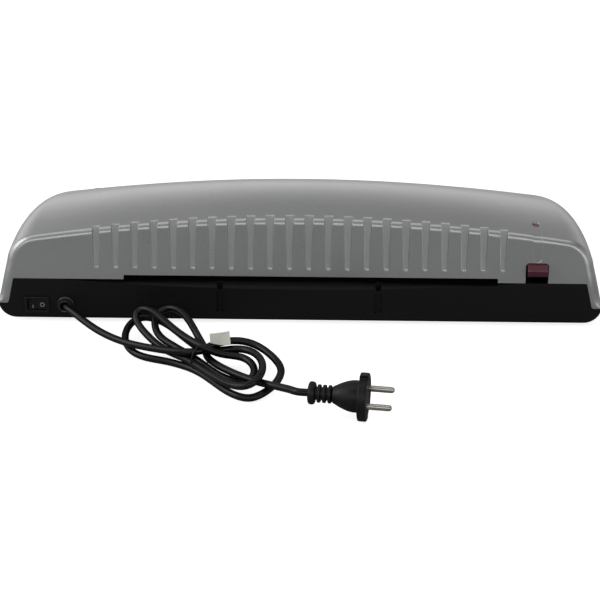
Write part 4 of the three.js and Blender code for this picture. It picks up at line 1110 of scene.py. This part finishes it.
def build_panel():
    """The control panel, its two keys and two lenses."""
    half_l, half_w = PANEL_LENGTH / 2, PANEL_WIDTH / 2
    plate = prism(rounded_rectangle(0, 0, half_l, half_w, 2.8), along_z, -PANEL_DEPTH, 0.6)
    plate = bevelled(plate, 0.35, 3, above=60)
    flange = box((-half_l - 2, -half_w - 2, -PANEL_DEPTH - 1.4), (half_l + 2, half_w + 2, -PANEL_DEPTH + 0.6))
    key_xs, lens_xs, key_r, lens_r = (-15, -3), (8, 16), 3.9, 1.7
    holes = [prism(circle(x, 0, key_r + GAP, 36), along_z, -9, 9) for x in key_xs]
    holes += [prism(circle(x, 0, lens_r + GAP, 24), along_z, -9, 9) for x in lens_xs]
    plate = cut(add(plate, flange), joined(holes))
    piece("panel_plate", moved(plate, PANEL), "panel_plastic", ["control_panel"])
    for name, x in (("power", key_xs[0]), ("mode", key_xs[1])):
        dish = [(3.2, 1.76), (2.6, 1.6), (1.4, 1.42), (0, 1.36)]
        profile = [(0, -5), (key_r, -5), (key_r, 1.1), (3.8, 1.5), (3.55, 1.75), *dish]
        key = moved(lathe(profile, 40), PANEL @ shift(x, 0, 0) @ UPRIGHT)
        piece(f"{name}_key_cap", key, "silver_button", [f"{name}_button"], f"{name}_key")
    for name, x, slot in (("ready", lens_xs[0], "green_lens"), ("power", lens_xs[1], "red_lens")):
        profile = [(0, -4), (lens_r, -4), (lens_r, 0.3), (1.5, 0.6), (1.1, 0.8), (0.6, 0.88), (0, 0.9)]
        lens = moved(lathe(profile, 28), PANEL @ shift(x, 0, 0) @ UPRIGHT)
        piece(f"{name}_lamp", lens, slot, [f"{name}_lens"])


# ------------------------------------------------------------------ mains cord, tie and plug

TIE = Vector((76, 157, 0))
HANK_YAW = math.radians(140)
HANK_NEAR = Vector((math.sin(HANK_YAW), -math.cos(HANK_YAW), 0))
TWIST_SIDE = Vector((-0.766, 0.643, 0))


def tied(near, z):
    """A strand's place inside the tie."""
    return TIE + HANK_NEAR * near + Z_AXIS * z


def cord_line():
    """The cord's centre line: from the bush to the tie, three loops each side of it, then to the plug."""
    lead = [(195.8, 60, 16.5), (195.8, 70, 16.5), (195, 76.5, 16.3), (183, 89, 13.6), (172, 102, 11.5)]
    lead += [(157, 117, 10.4), (142, 128, 10), (126, 138, 11), (106, 146.5, 12.5)]
    big_right = [(66, 150, 20), (53, 146, 22), (39, 146, 21), (27, 153, 19), (15, 169, 16), (10, 180, 14)]
    big_right += [(12, 190, 11), (19, 199, 6), (30, 207, 3.5), (36, 209, 3.2), (47, 204, 3.2), (60, 189, 3.2)]
    big_left = [(103, 147, 3.2), (120, 144, 3.2), (133, 135, 3.2), (141, 119, 4), (143, 106, 7)]
    big_left += [(139, 91, 10), (130, 85.5, 13), (116, 94, 15), (100, 113, 15)]
    mid_right = [(60, 150, 15), (44, 150, 17), (32, 159, 18), (25, 178, 19), (25, 197, 19), (31, 210, 17)]
    mid_right += [(41, 211, 13), (58, 192, 9)]
    tall_left = [(104, 137, 7), (120, 118, 9), (133, 104, 15), (136, 95, 20), (128, 91, 24), (117, 102, 25)]
    tall_left += [(102, 128, 23)]
    small_right = [(60, 156, 13), (45, 155, 13), (35, 164, 12), (31, 175, 9), (35, 183, 5)]
    small_right += [(45, 184, 3.5), (62, 173, 3.5)]
    high_left = [(100, 137, 9), (115, 122, 10), (119, 101, 15), (115, 91, 20), (106, 90, 24), (96, 99, 25)]
    high_left += [(87, 117, 23), (79, 138, 20)]
    out = [(62, 172, 12), (44, 186, 11), (27, 199, 12), (16, 207, 14), (6, 216, 16.5)]
    line = [*lead, tied(3.1, 14), *big_right, tied(3.1, 3.3), *big_left, tied(-3.1, 14), *mid_right]
    line += [tied(6.2, 8.6), *tall_left, tied(0, 19.2), *small_right, tied(0, 8.6), *high_left]
    return [*line, tied(-6.2, 8.6), *out, *[PLUG_END + PLUG_AXIS * step for step in (-11, -4, 2)]]


def settled(path, radius, rounds=160):
    """Pushes strands that run into each other apart, keeps them off the table, and evens the bends."""
    points = np.array([tuple(p) for p in path])
    count = len(points)
    spacing = np.linalg.norm(np.diff(points, axis=0), axis=1)
    travelled = np.concatenate([[0], np.cumsum(spacing)])
    far_apart = np.abs(travelled[:, None] - travelled[None, :]) > 6 * radius
    free = np.ones(count)
    pinned = 20
    free[:pinned] = 0
    free[-pinned:] = 0
    for _ in range(rounds):
        offset = points[:, None, :] - points[None, :, :]
        distance = np.linalg.norm(offset, axis=2) + 1e-9
        depth = np.where(far_apart, np.clip(2.04 * radius - distance, 0, None), 0)
        push = (offset / distance[:, :, None] * depth[:, :, None]).sum(axis=1)
        touching = np.maximum(1, (depth > 0).sum(axis=1))
        points += 0.5 * push / touching[:, None] * free[:, None]
        average = (points[:-2] + points[2:]) / 2
        points[1:-1] += 0.12 * (average - points[1:-1]) * free[1:-1, None]
        points[:, 2] = np.maximum(points[:, 2], radius * 1.02)
    return [Vector(p) for p in points]


def build_cord():
    path = settled(spline(cord_line(), 7), CORD_R)
    piece("mains_cord", sweep(path, CORD_R, 16), "cord_pvc", ["power_cord"])


def plug_matrix():
    level = Vector((-PLUG_AXIS.y, PLUG_AXIS.x, 0))
    across = level * math.cos(PLUG_ROLL) + Z_AXIS * math.sin(PLUG_ROLL)
    turn = Matrix((across, PLUG_AXIS, across.cross(PLUG_AXIS))).transposed().to_4x4()
    return shift(*PLUG_END) @ turn


def build_plug():
    """The plug: collar, ribbed neck, gripping bulb and a round flange that carries the two pins."""
    collar = [(7.2, -3), (8.2, -2.5), (8.8, -1.5), (8.9, -0.3), (8.7, 1), (8.0, 2.0), (7.0, 2.4), (5.0, 2.6)]
    neck = []
    rib, valley, ribs, rib_pitch = 7.0, 5.0, 3, 4.1
    for k in range(ribs):
        start = 4 + rib_pitch * k
        neck += [(valley, start - 0.2), (rib - 0.3, start), (rib, start + 0.4), (rib, start + 2.0)]
        neck += [(rib - 0.3, start + 2.4), (valley, start + 2.6)]
    bulb = [(6.4 + 5.9 * math.sin(i / 12 * math.pi / 2), 15.8 + 17.4 * i / 12) for i in range(13)]
    bulb += [(12.2, 34.4), (12.4, 35.6)]
    flange = [(17.4, 35.6), (18.2, 35.9), (18.5, 36.7), (18.5, 41.3), (18.2, 42.1), (17.5, 42.4)]
    face = [(14.2, 42.4), (13.8, 42), (0, 42)]
    profile = [(0, -3), *collar, *neck, *bulb, *flange, *face]
    body = lathe(profile, 72)
    cuts = [prism(circle(0, 0, 3.3, 24), along_y, -5, 6)]
    for side in (-1, 1):
        # A grip notch in the flange's edge, and a dimple where the pin comes out.
        cuts.append(prism(rounded_rectangle(0, side * 18.2, 4.4, 3, 1.2), along_y, 35, 44))
        cuts.append(prism(circle(side * PIN_SPACING / 2, 0, 2.7, 24), along_y, 35, 44))
    body = moved(cut(body, joined(cuts)), plug_matrix())
    piece("plug_moulding", body, "plug_pvc", ["plug_body"], above=50)
    for index, side in ((1, -1), (2, 1)):
        profile = [(0, 35.5), (2.4, 35.5), *arc(0, 59, 2.4, 0, 80, 4), (0, 61.4)]
        pin = moved(lathe(profile, 32), plug_matrix() @ shift(side * PIN_SPACING / 2, 0, 0))
        piece(f"contact_pin_{index}", pin, "nickel_pin", [f"plug_pin_{index}"])


def build_tie():
    """A wire bound once round the hank with its ends twisted together, and the paper tag it held."""
    wire, steps, half_width, half_height, middle_z = 0.6, 40, 10.4, 11.2, 11.4
    loop = []
    for i in range(steps):
        angle = 2 * math.pi * i / steps
        height = middle_z + half_height * math.sin(angle)
        loop.append(tied(half_width * math.cos(angle), max(height, wire + 0.1)))
    piece("tie_loop", sweep(loop, wire, 10, loop=True), "tie_wire", ["twist_tie"])
    for name, phase in (("tie_end_a", 0), ("tie_end_b", math.pi)):
        line = []
        for i in range(25):
            share = i / 24
            turn = phase + share * 4 * math.pi
            spread = 0.55 + (2.2 * max(0, share - 0.7) / 0.3) * (1 if phase else -1) * 0.5
            centre = tied(-9.6 - 9 * share, 19 + 2.5 * share)
            line.append(centre + spread * (Z_AXIS * math.sin(turn) + TWIST_SIDE * math.cos(turn)))
        piece(name, sweep(spline(line, 3), 0.5, 8), "tie_wire")
    build_tag()


def build_tag():
    """The paper tag, leaning back on the hank so that it faces upwards."""
    columns, rows, half_thickness = 14, 8, 0.16
    half_w, half_h = 8.0, 5.6

    def point(i, k, side):
        u, v = i / columns * 2 - 1, k / rows * 2 - 1
        curl = 1.3 * u * u - 0.5 * v * u + 0.5 * math.sin(2.4 * u + v)
        return (u * half_w, curl + side * half_thickness, v * half_h * (1 - 0.12 * u))

    rings = []
    for i in range(columns + 1):
        front = [point(i, k, -1) for k in range(rows + 1)]
        back = [point(i, k, 1) for k in range(rows, -1, -1)]
        rings.append(front + back)
    tag = moved(loft(rings), shift(60.8, 150.5, 25) @ spin(8, "Z") @ spin(60, "X"))
    piece("paper_tag", tag, "tag_paper", ["twist_tie_tag"])


# ------------------------------------------------------------------ CAD pieces that stay as they are


def finish_cad_nodes():
    """Gives every CAD piece that is still shown the material of its own slot."""
    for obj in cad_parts.values():
        slots = [slot.material.name.split(".")[0] for slot in obj.material_slots if slot.material]
        known = [slot for slot in slots if slot in MATERIALS] or ["plated_steel"]
        for index, slot in enumerate(obj.material_slots):
            slot.material = MATERIALS[known[min(index, len(known) - 1)]]


# ------------------------------------------------------------------ floor, light and camera


FAR_LOW, FAR_HIGH = 0.95, 0.24
NEAR_LOW, NEAR_HIGH = 0.05, 0.12


def build_floor():
    """A pale sweep: white where the camera sees it, otherwise paler beyond the machine than before it."""
    reach = 6.0
    corners = [(-reach, -reach, 0), (reach, -reach, 0), (reach, reach, 0), (-reach, reach, 0)]
    mesh = bpy.data.meshes.new("floor")
    mesh.from_pydata(corners, [], [(0, 1, 2, 3)])
    n = Nodes("pale_floor")
    clouds = n.noise(2, detail=2)
    seen = n.node("ShaderNodeLightPath").outputs["Is Camera Ray"]
    depth = n.node("ShaderNodeSeparateXYZ", Vector=n.place).outputs["Y"]
    near = n.mix(clouds, rgb(0.29, 0.295, 0.30), rgb(0.33, 0.335, 0.34))
    lit = n.mix(n.span(depth, 1.0, 0.0, -0.35, 0.0), near, rgb(0.85, 0.85, 0.84))
    n.set(Base_Color=n.mix(seen, lit, rgb(0.9, 0.9, 0.9)))
    n.set(Roughness=0.9, Emission_Color=rgb(1, 1, 1), Emission_Strength=n.span(seen, 0.0, 0.8))
    mesh.materials.append(n.owner)
    placed("floor", mesh)


def aimed(name, data, place, forward):
    """A light or a camera at a place, in metres, looking forward."""
    obj = placed(name, data)
    obj.location = place
    obj.rotation_mode = "QUATERNION"
    obj.rotation_quaternion = forward.to_track_quat("-Z", "Y")
    return obj


def soft_light(name, place, aim_z, size, power):
    light = bpy.data.lights.new(name, "AREA")
    light.shape = "RECTANGLE"
    light.size, light.size_y = size
    light.energy = power
    aimed(name, light, place, Vector((0, 0, aim_z)) - Vector(place))


def build_world():
    """A studio that is pale beyond the machine, brightest low down, dimmer at -X and on the camera's side."""
    n = Nodes("studio", "worlds", "Background")
    towards = n.node("ShaderNodeTexCoord").outputs["Generated"]
    direction = n.node("ShaderNodeSeparateXYZ", Vector=towards).outputs

    def ramp(axis, start, end, low, high):
        return n.span(direction[axis], low, high, start, end, "SMOOTHSTEP")

    blend = n.tree.nodes.new("ShaderNodeMix")
    n.put(blend.inputs[0], ramp("Y", 0.2, 0.85, 0.0, 1.0))
    n.put(blend.inputs[2], ramp("Z", 0.0, 0.75, FAR_LOW, FAR_HIGH))
    n.put(blend.inputs[3], ramp("Z", 0.0, 0.9, NEAR_LOW, NEAR_HIGH))
    side = ramp("X", -0.8, 0.1, 0.55, 1.0)
    n.set(Strength=n.math("MULTIPLY", blend.outputs[0], side), Color=rgb(1.0, 1.0, 0.985))
    bpy.context.scene.world = n.owner


def build_camera():
    """Looks down at the rear face from a little to the right of straight behind."""
    elevation, yaw = math.radians(25.5), math.radians(1.4)
    sensor, frame_px, focal_px = 36, 600, 1700
    level = Vector((math.sin(yaw), -math.cos(yaw), 0))
    forward = level * math.cos(elevation) - Z_AXIS * math.sin(elevation)
    right = Vector((-math.cos(yaw), -math.sin(yaw), 0))
    up = right.cross(forward)
    rear_foot = Vector((0, HALF_DEPTH, BOTTOM_Z))
    aside, above, distance = 0.84, 17.56, 1428.6
    place = rear_foot + right * aside + up * above - forward * distance
    camera = aimed("camera", bpy.data.cameras.new("camera"), TO_FRAME @ place, forward)
    camera.data.sensor_width = sensor
    camera.data.lens = sensor * focal_px / frame_px
    camera.data.clip_start = 0.01
    bpy.context.scene.camera = camera


def build_stage():
    build_floor()
    build_world()
    soft_light("overhead", (0.0, 0.0, 1.5), 0, (2.2, 0.8), 3.5)
    soft_light("rear_strip", (0.0, 1.6, 0.8), 0.05, (3.2, 0.7), 8)
    soft_light("left_top", (1.5, 0.2, 1.0), 0.05, (1.0, 1.0), 6)
    soft_light("right_card", (-1.7, 1.5, 0.35), 0.05, (1.0, 0.7), 2.5)
    build_camera()
    view = bpy.context.scene.view_settings
    view.view_transform = "Standard"
    view.look = "None"


# ------------------------------------------------------------------ build


def build():
    outer, hollow = body_form(0), body_form(WALL)
    build_cover(outer, hollow)
    build_base(outer, hollow)
    build_tray()
    build_feet()
    build_switch()
    build_relief()
    build_lever()
    build_marker()
    build_panel()
    build_cord()
    build_plug()
    build_tie()
    finish_cad_nodes()
    build_stage()


build()
